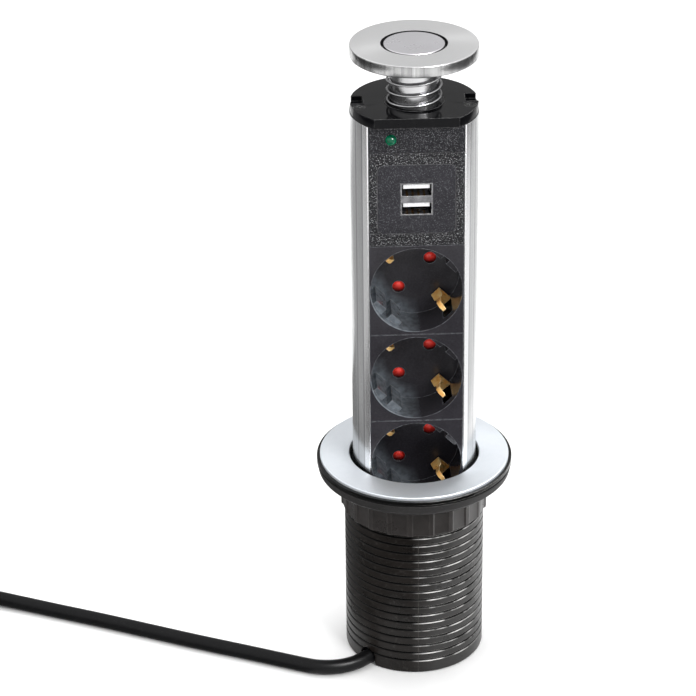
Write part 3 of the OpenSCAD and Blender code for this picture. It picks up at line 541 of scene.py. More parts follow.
def makeBarrelTone(s):
    tree, entry, result = makeGroup(
        "barrelTone",
        [
            ("Crest", "Float", s["crest"]),
            ("Groove Depth", "Float", s["grooveDepth"]),
            ("Flange Height", "Float", s["flangeHeight"]),
            ("Line Width", "Float", s["lineWidth"]),
        ],
        [
            ("Groove", "Float"),
            ("Flange", "Float"),
            ("Line", "Float"),
            ("Painted Lit Side", "Float"),
            ("Painted Glint", "Float"),
        ],
    )
    x, y, z = splitPlace(tree)
    below = addMath(tree, "SUBTRACT", entry.outputs["Crest"], addLength(tree, x, y))
    depth = addMath(tree, "DIVIDE", below, entry.outputs["Groove Depth"])
    # Painted shade in the grooves
    tree.links.new(addRange(tree, depth, s["darkFrom"], s["darkTo"], 0, 1), result.inputs["Groove"])
    # Painted glints on the upward faces of the grooves, on the side facing the lamps
    surface = addNode(tree, "NewGeometry")
    facing = addNode(tree, "SeparateXYZ")
    tree.links.new(surface.outputs["Normal"], facing.inputs[0])
    upward = addMath(tree, "GREATER_THAN", facing.outputs[2], s["glintLean"])
    near = addRange(tree, depth, s["glintDeep"], s["glintHigh"], 0, 1)
    worn = addRange(tree, addNoise(tree, placeInMm(tree), 0.12, 3), 0.42, 0.6, 0, 1)
    lit = addRange(tree, x, s["glintFrom"], s["glintTo"], 0, 1)
    fade = addRange(tree, x, s["fadeTo"], s["fadeFrom"], 0, 1)
    tree.links.new(addTimes(tree, upward, near, worn, lit, fade), result.inputs["Painted Glint"])
    high = addMath(tree, "GREATER_THAN", z, entry.outputs["Flange Height"])
    tree.links.new(high, result.inputs["Flange"])
    narrow = addMath(tree, "LESS_THAN", addMath(tree, "ABSOLUTE", x), entry.outputs["Line Width"])
    uneven = addRange(tree, addNoise(tree, placeInMm(tree), 0.5, 2), 0.4, 0.6, 0.2, 1)
    tree.links.new(addTimes(tree, narrow, uneven), result.inputs["Line"])
    # Painted light: lighter on the side that faces the lamps
    tree.links.new(addRange(tree, x, s["paintedLitFrom"], s["paintedLitTo"], 0, 1), result.inputs["Painted Lit Side"])
    return tree


# Painted bands on an extrusion: thin lines of painted shade where its grooves run, at two distances from
# its middle, and a mask for the band outside the first
def makePaintedProfileBands():
    tree, entry, result = makeGroup(
        "paintedProfileBands",
        [("First", "Float", 22.5), ("Second", "Float", 24.9), ("Width", "Float", 0.22)],
        [("Line", "Float"), ("Outer", "Float")],
    )
    x, y, z = splitPlace(tree)
    side = addMath(tree, "ABSOLUTE", x)
    lines = []
    for label in ("First", "Second"):
        away = addMath(tree, "ABSOLUTE", addMath(tree, "SUBTRACT", side, entry.outputs[label]))
        lines.append(addRange(tree, away, entry.outputs["Width"], 0, 0, 1))
    tree.links.new(addMath(tree, "MAXIMUM", lines[0], lines[1]), result.inputs["Line"])
    tree.links.new(addMath(tree, "GREATER_THAN", side, entry.outputs["First"]), result.inputs["Outer"])
    return tree


barrelTone = makeBarrelTone(tone)
paintedProfileBands = makePaintedProfileBands()
pinDomes = makePinDomes()
paintedWallSheen = makePaintedWallSheen()
mouldGrain = makeMouldGrain()
drawnLines = makeDrawnLines()
turnedLines = makeTurnedLines()
edgeWearAndGlint = makeEdgeWearAndGlint()
handling = makeHandling()
print("shader groups made")


# Materials

def placeGroup(tree, group, **values):
    node = addNode(tree, "Group", node_tree=group)
    for label, value in values.items():
        node.inputs[label.replace("_", " ")].default_value = value
    return node


def startMaterial(name, settings):
    material = bpy.data.materials.new(name)
    material.use_nodes = True
    tree = material.node_tree
    shader = tree.nodes["Principled BSDF"]
    for label, value in settings.items():
        shader.inputs[label].default_value = value
    return material, tree, shader


def addBump(tree, shader, height, strength, distance):
    bump = addNode(tree, "Bump")
    bump.inputs["Strength"].default_value = strength
    bump.inputs["Distance"].default_value = distance * mm
    tree.links.new(height, bump.inputs["Height"])
    tree.links.new(bump.outputs[0], shader.inputs["Normal"])


def grey(value):
    return value, value, value


# Moulded plastic, rubber and the like; what a material doesn't say comes from here
moulded = {
    "grain": 0.5, "flecks": 0.1, "rough": 0.4, "clouds": 0.1, "wear": 0.2, "wearWidth": 0.3, "bump": 0.05,
    "depth": 0.05,
}


def makeMoulded(name, own):
    s = {**moulded, **own}
    material, tree, shader = startMaterial(name, s.get("shader", {}))
    grain = placeGroup(
        tree, mouldGrain,
        Color=s["color"] + (1,), Fleck_Color=s["fleck"] + (1,), Flecks=s["flecks"],
        Grain_Size=s["grain"], Roughness=s["rough"], Cloudiness=s["clouds"],
    )
    wear = placeGroup(tree, edgeWearAndGlint, Width=s["wearWidth"] * mm, Amount=s["wear"])
    plain = grain.outputs["Color"]
    # Painted reflection on one side of the recess wall of the sockets
    if "paintedSheen" in s:
        glow = placeGroup(tree, paintedWallSheen)
        plain = addMix(tree, glow.outputs["Mask"], plain, s["paintedSheen"] + (1,))
    # Painted shade on the lower side of each shutter dome
    if "paintedLowShade" in s:
        domes = placeGroup(tree, pinDomes)
        plain = addMix(tree, domes.outputs["Lower Shade"], plain, s["paintedLowShade"] + (1,))
    mask = wear.outputs["Mask"]
    rough = grain.outputs["Roughness"]
    if "groove" in s:
        found = placeGroup(tree, barrelTone).outputs
        # Painted light on the side of the barrel that faces the lamps
        plain = addMix(tree, addTimes(tree, found["Painted Lit Side"], s["paintedLitShare"]), plain, s["lit"] + (1,))
        # Painted shade in the grooves
        plain = addMix(tree, found["Groove"], plain, s["groove"] + (1,))
        # Painted glints on the upward faces of the grooves
        plain = addMix(tree, found["Painted Glint"], plain, s["paintedGlint"] + (1,))
        plain = addMix(tree, found["Line"], plain, s["line"] + (1,))
        plain = addMix(tree, found["Flange"], plain, s["flange"] + (1,))
        # The barrel's edge colour shows only on the side facing the lamps: painted highlights along the
        # thread's edges
        mask = addTimes(tree, mask, found["Painted Lit Side"])
        rough = addRange(tree, found["Flange"], 0, 1, rough, s["flangeRough"])
    # Edge colour: partly rubbed edges, partly painted highlights along edges
    tree.links.new(addMix(tree, mask, plain, s["worn"] + (1,)), shader.inputs["Base Color"])
    tree.links.new(rough, shader.inputs["Roughness"])
    if "paintedLowShade" in s:
        addBump(tree, shader, domes.outputs["Height"], 1.0, s["domeHeight"])
    else:
        addBump(tree, shader, grain.outputs["Height"], s["bump"], s["depth"])
    return material


# Metals: lines is drawnLines, turnedLines or None; sides is a painted shade where the surface turns away
# from the camera
def makeMetal(name, s, lines=None):
    material, tree, shader = startMaterial(name, {"Metallic": 1.0, **s.get("shader", {})})
    marks = placeGroup(tree, handling, Size=s["markSize"], Low=s["rough"][0], High=s["rough"][1])
    wear = placeGroup(tree, edgeWearAndGlint, Width=s["wearWidth"] * mm, Amount=s["wear"])
    tree.links.new(marks.outputs["Value"], shader.inputs["Roughness"])
    if lines:
        brush = placeGroup(tree, lines, Lines_per_mm=s["lines"])
        shade = addRange(tree, brush.outputs["Shade"], 0.3, 0.7, 0, 1)
        addBump(tree, shader, brush.outputs["Height"], s["bump"], s["depth"])
    else:
        shade = addRange(tree, addNoise(tree, placeInMm(tree), 0.3, 3), 0.3, 0.7, 0, 1)
    plain = addMix(tree, shade, s["dark"] + (1,), s["light"] + (1,))
    # Painted shade on the sides that turn away from the camera
    if "sides" in s:
        grazing = addNode(tree, "LayerWeight")
        turned = addRange(tree, grazing.outputs["Facing"], 0.2, 0.7, 0, 1)
        plain = addMix(tree, turned, plain, s["sides"] + (1,))
    # Aluminium: painted reflection on the lip inside the first groove, painted shade along both grooves
    if "outer" in s:
        cut = placeGroup(tree, paintedProfileBands)
        plain = addMix(tree, cut.outputs["Outer"], s["lip"] + (1,), plain)
        plain = addMix(tree, cut.outputs["Line"], plain, s["outer"] + (1,))
    # Edge colour: partly rubbed edges, partly painted highlights along edges
    tree.links.new(addMix(tree, wear.outputs["Mask"], plain, s["edge"] + (1,)), shader.inputs["Base Color"])
    return material


plastics = {
    "anthracitePlate": {
        "color": (0.012, 0.012, 0.0145), "fleck": (0.6, 0.6, 0.64), "flecks": 0.4, "grain": 0.22,
        "clouds": 0.15, "wear": 0.35, "wearWidth": 0.5, "worn": (0.1, 0.1, 0.11), "bump": 0.9,
        "depth": 0.22, "shader": {"Specular IOR Level": 0.15},
    },
    "frameGrain": {
        "color": (0.008, 0.008, 0.01), "fleck": (0.95, 0.95, 0.98), "flecks": 0.5, "grain": 0.26,
        "clouds": 0.15, "wear": 0.5, "wearWidth": 0.5, "worn": (0.2, 0.2, 0.21), "bump": 1.0,
        "depth": 0.3, "shader": {"Specular IOR Level": 0.2},
    },
    "portPanel": {
        "color": (0.023, 0.0225, 0.027), "fleck": (0.26, 0.26, 0.28), "flecks": 0.4, "grain": 0.2,
        "rough": 0.42, "clouds": 0.15, "wear": 1.0, "wearWidth": 0.4, "worn": (0.28, 0.28, 0.29),
        "bump": 0.4, "depth": 0.1, "shader": {"Specular IOR Level": 0.15},
    },
    "socketPlastic": {
        "color": (0.021, 0.0195, 0.024), "fleck": (0.05, 0.05, 0.055), "flecks": 0.12, "grain": 0.7,
        "rough": 0.2, "clouds": 0.15, "wear": 0.9, "wearWidth": 0.4, "worn": (0.24, 0.25, 0.27),
        # the sheen colour is a painted reflection on one side of the recess wall
        "depth": 0.03, "paintedSheen": (0.2, 0.23, 0.26), "shader": {"Specular IOR Level": 0.5},
    },
    "glossBlack": {
        "color": (0.003, 0.003, 0.0038), "fleck": grey(0.02), "grain": 1.2, "rough": 0.1, "wear": 0.7,
        "wearWidth": 0.35, "worn": grey(0.32), "bump": 0.03, "depth": 0.03,
        "shader": {"Specular IOR Level": 0.1},
    },
    "barrelPlastic": {
        # Colours here: painted shade in the grooves, painted light on the side facing the lamps, painted
        # glints, and an edge colour that shows only on that side as painted highlights on edges
        "color": (0.0075, 0.0058, 0.0048), "fleck": (0.1, 0.095, 0.09), "flecks": 0.12, "grain": 0.8,
        "rough": 0.3, "clouds": 0.3, "wear": 1.0, "worn": (0.42, 0.41, 0.39), "bump": 0.12,
        "groove": grey(0.0005), "line": (0.06, 0.055, 0.05), "lit": (0.044, 0.0435, 0.043),
        "flange": grey(0.003), "flangeRough": 0.1, "paintedGlint": (0.8, 0.79, 0.78),
        "shader": {"Specular IOR Level": 0.22}, "paintedLitShare": 0.7,
    },
    "washerPlastic": {
        "color": (0.02, 0.019, 0.019), "fleck": grey(0.07), "flecks": 0.15, "rough": 0.5, "clouds": 0.2,
        "wear": 0.3, "wearWidth": 0.4, "worn": grey(0.1), "bump": 0.3, "depth": 0.06,
        "shader": {"Specular IOR Level": 0.2},
    },
    "nutPlastic": {
        "color": (0.022, 0.019, 0.018), "fleck": (0.03, 0.027, 0.025), "grain": 2.2, "rough": 0.3,
        "clouds": 0.2, "wear": 0.6, "wearWidth": 0.4, "worn": (0.16, 0.15, 0.14),
        "shader": {"Specular IOR Level": 0.5},
    },
    "innerPlastic": {
        "color": (0.012, 0.012, 0.013), "fleck": grey(0.04), "grain": 0.8, "rough": 0.45,
        "worn": grey(0.05), "bump": 0.15, "shader": {"Specular IOR Level": 0.2},
    },
    "foamRubber": {
        "color": grey(0.012), "fleck": grey(0.03), "flecks": 0.3, "grain": 0.3, "rough": 0.9,
        "wear": 0.1, "wearWidth": 0.2, "worn": grey(0.04), "bump": 0.8, "depth": 0.15,
        "shader": {"Specular IOR Level": 0.1},
    },
    "cordSheath": {
        "color": (0.004, 0.004, 0.0045), "fleck": grey(0.03), "flecks": 0.15, "rough": 0.34,
        "clouds": 0.15, "wear": 0.0, "wearWidth": 0.2, "worn": grey(0.05), "bump": 0.25, "depth": 0.04,
        "shader": {"Specular IOR Level": 0.18},
    },
    "plugPlastic": {
        "color": (0.012, 0.012, 0.013), "fleck": grey(0.05), "flecks": 0.15, "clouds": 0.12,
        "wear": 0.35, "wearWidth": 0.5, "worn": grey(0.09), "bump": 0.25,
        "shader": {"Specular IOR Level": 0.3},
    },
    "shutterRed": {
        "color": (1.0, 0.045, 0.03), "fleck": (1.0, 0.1, 0.07), "grain": 0.6, "rough": 0.22,
        # the dark red low side is painted shade under each dome
        "clouds": 0.08, "wearWidth": 0.2, "worn": (0.75, 0.12, 0.08), "paintedLowShade": (0.1, 0.004, 0.004),
        "domeHeight": 1.6, "shader": {"Coat Weight": 0.35, "Coat Roughness": 0.08},
    },
    "tongueWhite": {
        "color": (0.93, 0.93, 0.94), "fleck": grey(0.96), "grain": 0.6, "rough": 0.35, "clouds": 0.02,
        "wear": 0.1, "wearWidth": 0.2, "worn": grey(0.97), "depth": 0.03,
    },
    "whiteNylon": {
        "color": (0.78, 0.77, 0.74), "fleck": (0.85, 0.84, 0.82), "grain": 0.6, "clouds": 0.04,
        "wear": 0.1, "wearWidth": 0.2, "worn": (0.88, 0.88, 0.86), "depth": 0.03,
    },
    "boardGreen": {
        "color": (0.02, 0.15, 0.05), "fleck": (0.45, 0.42, 0.3), "flecks": 0.4, "grain": 1.1,
        "rough": 0.35, "wear": 0.1, "wearWidth": 0.2, "worn": (0.25, 0.35, 0.2), "bump": 0.1,
    },
    "partYellow": {
        "color": (0.5, 0.36, 0.06), "fleck": (0.6, 0.5, 0.2), "flecks": 0.2, "grain": 0.8, "rough": 0.5,
        "clouds": 0.15, "worn": (0.6, 0.5, 0.3), "bump": 0.1,
    },
    "wireJacket": {
        "color": (0.22, 0.09, 0.04), "fleck": (0.3, 0.15, 0.08), "wear": 0.0, "wearWidth": 0.1,
        "worn": (0.3, 0.2, 0.1), "bump": 0.1, "depth": 0.03,
    },
}

metals = {
    "satinAluminium": {
        "dark": (0.52, 0.525, 0.53), "light": (0.64, 0.645, 0.65), "edge": (0.95, 0.95, 0.96),
        "rough": (0.22, 0.27), "markSize": 9, "wear": 0.5, "wearWidth": 0.3, "lines": 2.2, "bump": 0.03,
        # the lip colour is a painted reflection, the outer colour painted shade in the grooves
        "depth": 0.006, "lip": (0.93, 0.93, 0.94), "outer": (0.3, 0.3, 0.31),
    },
    "satinRing": {
        "dark": (0.7, 0.74, 0.78), "light": (0.77, 0.8, 0.84), "edge": (0.95, 0.95, 0.96),
        "rough": (0.48, 0.53), "markSize": 12, "wear": 0.6, "wearWidth": 0.3, "lines": 4.0,
        "bump": 0.03, "depth": 0.006, "shader": {"Anisotropic": 0.4, "Metallic": 0.75},
    },
    "brushedSteel": {
        "dark": (0.89, 0.89, 0.895), "light": (0.93, 0.93, 0.935), "edge": grey(0.92),
        "rough": (0.25, 0.262), "markSize": 14, "wear": 0.4, "wearWidth": 0.3, "lines": 4.0,
        "bump": 0.03, "depth": 0.006, "shader": {"Anisotropic": 0.75},
    },
    "rimSteel": {
        "dark": grey(0.22), "light": grey(0.62), "edge": grey(0.9), "rough": (0.2, 0.24), "markSize": 6,
        "wear": 0.5, "wearWidth": 0.2, "lines": 0.7, "bump": 0.05, "depth": 0.01,
    },
    "buttonSteel": {
        "dark": (0.76, 0.75, 0.78), "light": (0.8, 0.79, 0.82), "edge": grey(0.97),
        "rough": (0.27, 0.282), "markSize": 14, "wear": 0.6, "wearWidth": 0.3, "lines": 3.0,
        "bump": 0.02, "depth": 0.005, "shader": {"Anisotropic": 0.3},
    },
    "polishedSteel": {
        "dark": (0.52, 0.52, 0.53), "light": (0.6, 0.6, 0.605), "edge": grey(0.9), "rough": (0.2, 0.21),
        "markSize": 9, "wear": 0.3, "wearWidth": 0.2, "lines": 3.0, "bump": 0.05, "depth": 0.01,
        "sides": (0.1, 0.1, 0.105),
    },
    "shellSteel": {
        "dark": (0.16, 0.16, 0.17), "light": (0.34, 0.34, 0.35), "edge": grey(0.98),
        "rough": (0.2, 0.3), "markSize": 3, "wear": 1.0, "wearWidth": 0.3,
    },
    "hardwareSteel": {
        "dark": (0.48, 0.48, 0.49), "light": (0.58, 0.58, 0.59), "edge": (0.85, 0.85, 0.86),
        "rough": (0.22, 0.32), "markSize": 4, "wear": 0.3, "wearWidth": 0.2, "sides": grey(0.03),
    },
    "darkScrew": {
        "dark": grey(0.01), "light": grey(0.05), "edge": grey(0.7), "rough": (0.35, 0.45),
        "markSize": 3, "wear": 0.9, "wearWidth": 0.25,
    },
    "brassMetal": {
        # the cream edge colour is a painted highlight on the brass edges
        "dark": (0.8, 0.36, 0.07), "light": (1.0, 0.72, 0.3), "edge": (1.0, 0.93, 0.7),
        "rough": (0.25, 0.35), "markSize": 2, "wear": 1.0, "wearWidth": 0.3,
        "shader": {"Metallic": 0.4},
    },
}

lineKinds = {
    "satinAluminium": drawnLines,
    "rimSteel": drawnLines,
    "satinRing": turnedLines,
    "brushedSteel": turnedLines,
    "buttonSteel": turnedLines,
    "polishedSteel": turnedLines,
}

made = {name: makeMoulded(name, s) for name, s in plastics.items()}
made.update({name: makeMetal(name, s, lineKinds.get(name)) for name, s in metals.items()})


# Green lamp, unlit: colour that swirls a little under a clear glossy skin
lampGlass = {
    "dark": (0.0, 0.045, 0.02),
    "light": (0.0, 0.13, 0.06),
    "shader": {"Roughness": 0.3, "Specular IOR Level": 0.0, "Coat Weight": 0.8, "Coat Roughness": 0.02},
}


def makeLampGreen(s):
    material, tree, shader = startMaterial("lampGreen", s["shader"])
    swirl = addRange(tree, addNoise(tree, placeInMm(tree), 0.6, 2), 0.3, 0.7, 0, 1)
    tree.links.new(addMix(tree, swirl, s["dark"] + (1,), s["light"] + (1,)), shader.inputs["Base Color"])
    return material


made["lampGreen"] = makeLampGreen(lampGlass)
print("materials made:", len(made))


# Cord: from the tower's gland through the arch in the rim, along the floor and into its coil

cord = {
    "radius": 3.3,
    "sides": 16,
    "z": 3.4,
    "exitZ": 32,
    "notchAngle": 224.3,
    "dropEnd": 28.6,
    "coilX": -251,
    "coilY": 10.8,
    "coilZ": 4.4,
    "coilOut": 44.85,
    "coilStep": 7.6,
    "coilLayer": 7.45,
    "coilStart": 66.5,
    "coilLoops": 3,
    "ringsPerLoop": 36,
    "lead": 6.6,  # straight bit before and after the coil
    "tail": 14,
    "drop": [  # distance from the tower's axis and height, from the gland to the arch
        (0, 32), (0, 30), (0.8, 22.7), (3.5, 16.4), (7.6, 11), (13, 6.9), (19.3, 4.3), (26, 3.4),
        (28.6, 3.4), (31.2, 3.4),
    ],
    "run": [  # places on the floor, from the arch to the coil
        (-27.3, -25.8, 3.4), (-33, -28.3, 3.4), (-39.3, -29.2, 3.4), (-45.7, -28.5, 3.4),
        (-52, -26.2, 3.4), (-62, -21.8, 3.4), (-75, -16, 3.4), (-98, -6, 3.4), (-121, 4.5, 3.4),
        (-144, 15, 3.4), (-167, 25, 3.4), (-190, 34.8, 3.7), (-212, 43.6, 4.4),
    ],
}


# The coil winds inward on the floor, climbs half a turn and winds outward on top; u counts turns
def coilPoint(s, u):
    turns = s["coilLoops"]
    radius = s["coilOut"] - s["coilStep"] * (turns + 0.25 - abs(u - turns - 0.25))
    w = min(max((u - turns) / 0.5, 0), 1)
    a = math.radians(s["coilStart"]) + 2 * math.pi * u
    rise = s["coilLayer"] * w * w * (3 - 2 * w)
    middle = Vector((s["coilX"], s["coilY"], s["coilZ"]))
    return middle + Vector((radius * math.cos(a), radius * math.sin(a), rise))


def coilHeading(s, u):
    return (coilPoint(s, u + 0.001) - coilPoint(s, u - 0.001)).normalized()


def cordRoute(s):
    a = math.radians(s["notchAngle"])
    way = Vector((math.cos(a), math.sin(a), 0))
    hand = [way * r + Vector((0, 0, z)) for r, z in s["drop"]]
    hand += [Vector(p) for p in s["run"]]
    hand.append(coilPoint(s, 0) - coilHeading(s, 0) * s["lead"])
    route = smoothLine(hand, 5)
    turns = 2 * s["coilLoops"] + 0.5
    rings = round(turns * s["ringsPerLoop"])
    route += [coilPoint(s, k * turns / rings) for k in range(rings + 1)]
    end = coilPoint(s, turns)
    heading = coilHeading(s, turns)
    route += [end + heading * (s["lead"] + s["tail"] * part) for part in (0, 0.5, 1)]
    return route


def makeCord(s):
    route = cordRoute(s)
    piece = sweepTube("mainsCord", route, s["radius"], s["sides"], made["cordSheath"])
    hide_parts("cord_drop", "cord_run", "cord_coil", "cord_tail")
    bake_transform(piece)


makeCord(cord)
print("cord laid")


# Grip lid with its button

lid = {
    "outer": 26.8, "bottom": 285, "top": 290, "well": 13.9, "wellFloor": 286.2, "hole": 10.35, "edge": 0.5,
    "wellEdge": 0.15, "wellCorner": 0.2, "gap": 0.05,
}
button = {"radius": 12.75, "bottom": 288.6, "top": 290, "edge": 0.55, "lowEdge": 0.1}


# Gives the upright faces between two radii another material
def paintWall(piece, finish, inner, outer):
    piece.data.materials.append(made[finish])
    slot = len(piece.data.materials) - 1
    for face in piece.data.polygons:
        r = math.hypot(face.center.x, face.center.y) / mm
        if inner < r < outer and abs(face.normal.z) < 0.6:
            face.material_index = slot


def makeLid(s, b):
    disc = turnedPiece("gripLid", [
        (s["hole"], s["bottom"], 0), (s["outer"], s["bottom"], s["edge"]),
        (s["outer"], s["top"], s["edge"]), (s["well"], s["top"], s["wellEdge"]),
        (s["well"], s["wellFloor"], s["wellCorner"]), (s["hole"], s["wellFloor"], 0),
    ], made["brushedSteel"])
    # Dark plastic colour on the upright wall of the well: painted shade in the gap round the button
    paintWall(disc, "innerPlastic", s["hole"] + s["gap"], s["well"] + s["gap"])
    paintWall(disc, "rimSteel", s["outer"] - 1, s["outer"] + 1)
    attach(disc, "lid")
    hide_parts("lid_disc")
    cap = turnedPiece("releaseButton", [
        (0, b["bottom"], 0), (b["radius"], b["bottom"], b["lowEdge"]),
        (b["radius"], b["top"], b["edge"]), (0, b["top"], 0),
    ], made["buttonSteel"])
    # Dark plastic colour on the button's side: painted shade in the gap round it
    paintWall(cap, "innerPlastic", b["radius"] - s["gap"], b["radius"] + s["gap"])
    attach(cap, "button")
    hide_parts("button_cap")


makeLid(lid, button)


# Trim ring on the flange

trim = {"inner": 28.7, "outer": 41.7, "bottom": 96.1, "top": 97.5, "edge": 0.45}


def makeTrimRing(s):
    ring = turnedPiece("trimRing", [
        (s["inner"], s["bottom"], 0), (s["outer"], s["bottom"], 0), (s["outer"], s["top"], s["edge"]),
        (s["inner"], s["top"], s["edge"]),
    ], made["satinRing"], steps=200)
    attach(ring, "barrel")
    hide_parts("trim_ring")


makeTrimRing(trim)


# Lamp in its plate: a smooth dome on a short stem

lens = {"x": -10.6, "y": -17.67, "z": 254.5, "radius": 2.35, "stem": 2.55, "steps": 12}


def makeLens(s):
    outline = [(0, -s["stem"], 0), (s["radius"], -s["stem"], 0)]
    for k in range(s["steps"] + 1):
        a = math.pi / 2 * k / s["steps"]
        outline.append((s["radius"] * math.cos(a), s["radius"] * math.sin(a), 0))
    dome = turnedPiece("lampDome", outline, made["lampGreen"], steps=48)
    place = Matrix.Translation(Vector((s["x"], s["y"], s["z"])) * mm)
    dome.data.transform(place @ Matrix.Rotation(math.radians(90), 4, "X"))
    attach(dome, "tower")
    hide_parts("led_lens")


makeLens(lens)


# Wound springs: one round the neck, one under the button

springs = {
    "lid_spring": {
        "piece": "liftSpring", "finish": "polishedSteel", "slot": "polished_steel",
        "radius": 11.25, "wire": 0.48, "low": 264.8, "high": 285, "curls": 5.25, "rings": 40, "sides": 10,
        "body": "tower", "joint": "lid_slide", "travel": 12,
    },
    "button_spring": {
        "piece": "buttonSpring", "finish": "hardwareSteel", "slot": "hardware_steel",
        "radius": 5, "wire": 0.38, "low": 273.2, "high": 288.6, "curls": 7, "rings": 24, "sides": 8,
        "body": "lid", "joint": "button_press", "travel": 1.7,
    },
}


def makeSpring(node, s):
    rings = round(s["rings"] * s["curls"])
    rise = s["high"] - s["low"] - 2 * s["wire"]
    route = []
    for i in range(rings + 1):
        u = i / s["rings"]
        w = min(max((u - 0.5) / (s["curls"] - 1), 0), 1)
        a = 2 * math.pi * u
        z = s["low"] + s["wire"] + rise * w
        route.append(Vector((s["radius"] * math.cos(a), s["radius"] * math.sin(a), z)))
    piece = sweepTube(s["piece"], route, s["wire"], s["sides"], made[s["finish"]])
    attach(piece, s["body"])
    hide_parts(node)
    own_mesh(piece)


for springNode, springSettings in springs.items():
    makeSpring(springNode, springSettings)
print("lid, ring, lamp and springs made")


# Earth strap of each socket: one bent brass sheet with a spring tongue at both ends

strap = {
    "turn": -45,
    "thick": 0.5,
    "edge": 0.12,
    "bend": [  # along the strap from its middle, depth, width
        (0, 3.63, 5), (19.95, 3.63, 5), (19.95, -0.7, 5), (12.8, -1.1, 5), (14.3, -4.6, 4.6),
        (14.5, -5.2, 2.2), (14.0, -9.4, 2.2), (15.4, -11.4, 2.2), (17.4, -12.6, 1.6),
    ],
}


def bentSheet(name, path, thick, edge, place, material):
    count = len(path)
    points = []
    for i, (u, y, width) in enumerate(path):
        before = path[max(i - 1, 0)]
        after = path[min(i + 1, count - 1)]
        first = Vector((u - before[0], y - before[1]))
        last = Vector((after[0] - u, after[1] - y))
        along = (first.normalized() + last.normalized()).normalized()
        out = Vector((along.y, -along.x)) * thick / 2
        for side, face in ((-1, -1), (1, -1), (1, 1), (-1, 1)):
            points.append(place @ Vector((u + face * out.x, y + face * out.y, side * width / 2)) * mm)
    faces = [(3, 2, 1, 0)]
    for i in range(count - 1):
        for k in range(4):
            n = (k + 1) % 4
            faces.append((4 * i + k, 4 * i + n, 4 * i + 4 + n, 4 * i + 4 + k))
    faces.append(tuple(4 * (count - 1) + k for k in range(4)))
    piece = newPiece(name, meshFrom(name, points, faces), material)
    smoothBy(piece, 25)
    bevel = piece.modifiers.new("edges", "BEVEL")
    bevel.width = edge * mm
    bevel.segments = 2
    return piece


def makeStraps(s):
    half = s["bend"]
    whole = [(-u, y, w) for u, y, w in reversed(half[1:])] + half[1:]
    turned = Matrix.Rotation(-math.radians(s["turn"]), 4, "Y")
    for i in range(sockets["count"]):
        centre = sockets["lowest"] + sockets["pitch"] * (sockets["count"] - 1 - i)
        place = Matrix.Translation((0, 0, centre)) @ turned
        name = "earthStrap%d" % (i + 1)
        piece = bentSheet(name, whole, s["thick"], s["edge"], place, made["brassMetal"])
        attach(piece, "tower")
        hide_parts("earth_strap_%d" % (i + 1))


makeStraps(strap)
print("earth straps bent")


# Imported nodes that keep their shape: the edge radius of each node under its finish, the # is a number

nodeFinish = {
    "barrelPlastic": {"barrel": 0.12},
    "washerPlastic": {"clamp_washer": 0.3},
    "nutPlastic": {"clamp_nut": 0.2},
    "foamRubber": {"flange_gasket": 0.1},
    "innerPlastic": {"guide_ring": 0.2, "foot_collar": 0.2, "bottom_cap": 0.3},
    "cordSheath": {"cable_gland": 0.2, "coil_tie": 0.2},
    "satinAluminium": {"tower_profile": 0.12},
    "glossBlack": {"end_cap": 0.3, "neck_bush": 0.1},
    "polishedSteel": {"neck_tube": 0.1},
    "darkScrew": {"end_cap_screws": 0.08},
    "hardwareSteel": {
        "bottom_screws": 0.08, "catch_lever": 0.08, "plug_pins": 0.2, "catch_pin": 0, "catch_leaf": 0,
        "neck_clip": 0,
    },
    "anthracitePlate": {"led_plate": 0.15, "foot_plate": 0.15},
    "frameGrain": {"usb_plate": 0.15},
    "portPanel": {"usb_panel": 0.25},
    "shellSteel": {"usb_shell": 0.06},
    "tongueWhite": {"usb_tongues": 0.1},
    "brassMetal": {"usb_contacts": 0, "live_rail": 0, "neutral_rail": 0, "plug_earth_strips": 0.1},
    "boardGreen": {"led_board": 0, "charger_board": 0},
    "partYellow": {"charger_parts": 0.2},
    "socketPlastic": {"socket_#": 0.12},
    "shutterRed": {"shutter_#": 0},
    "whiteNylon": {"contact_carrier_#": 0, "button_stem": 0},
    "wireJacket": {"inner_wires": 0},
    "plugPlastic": {"plug_body": 0.4},
}


def finishNode(node, finish, edge):
    node.data.materials.clear()
    node.data.materials.append(made[finish])
    if edge:
        softenNode(node, edge)
    else:
        node.data.shade_smooth()
        node.modifiers.new("split", "EDGE_SPLIT").split_angle = math.radians(35)


for finish, nodeEdges in nodeFinish.items():
    for label, edge in nodeEdges.items():
        for i in range(sockets["count"] if "#" in label else 1):
            finishNode(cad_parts[label.replace("#", str(i + 1))], finish, edge)
print("nodes finished")


# Floor, lights and the cards that metal reflects

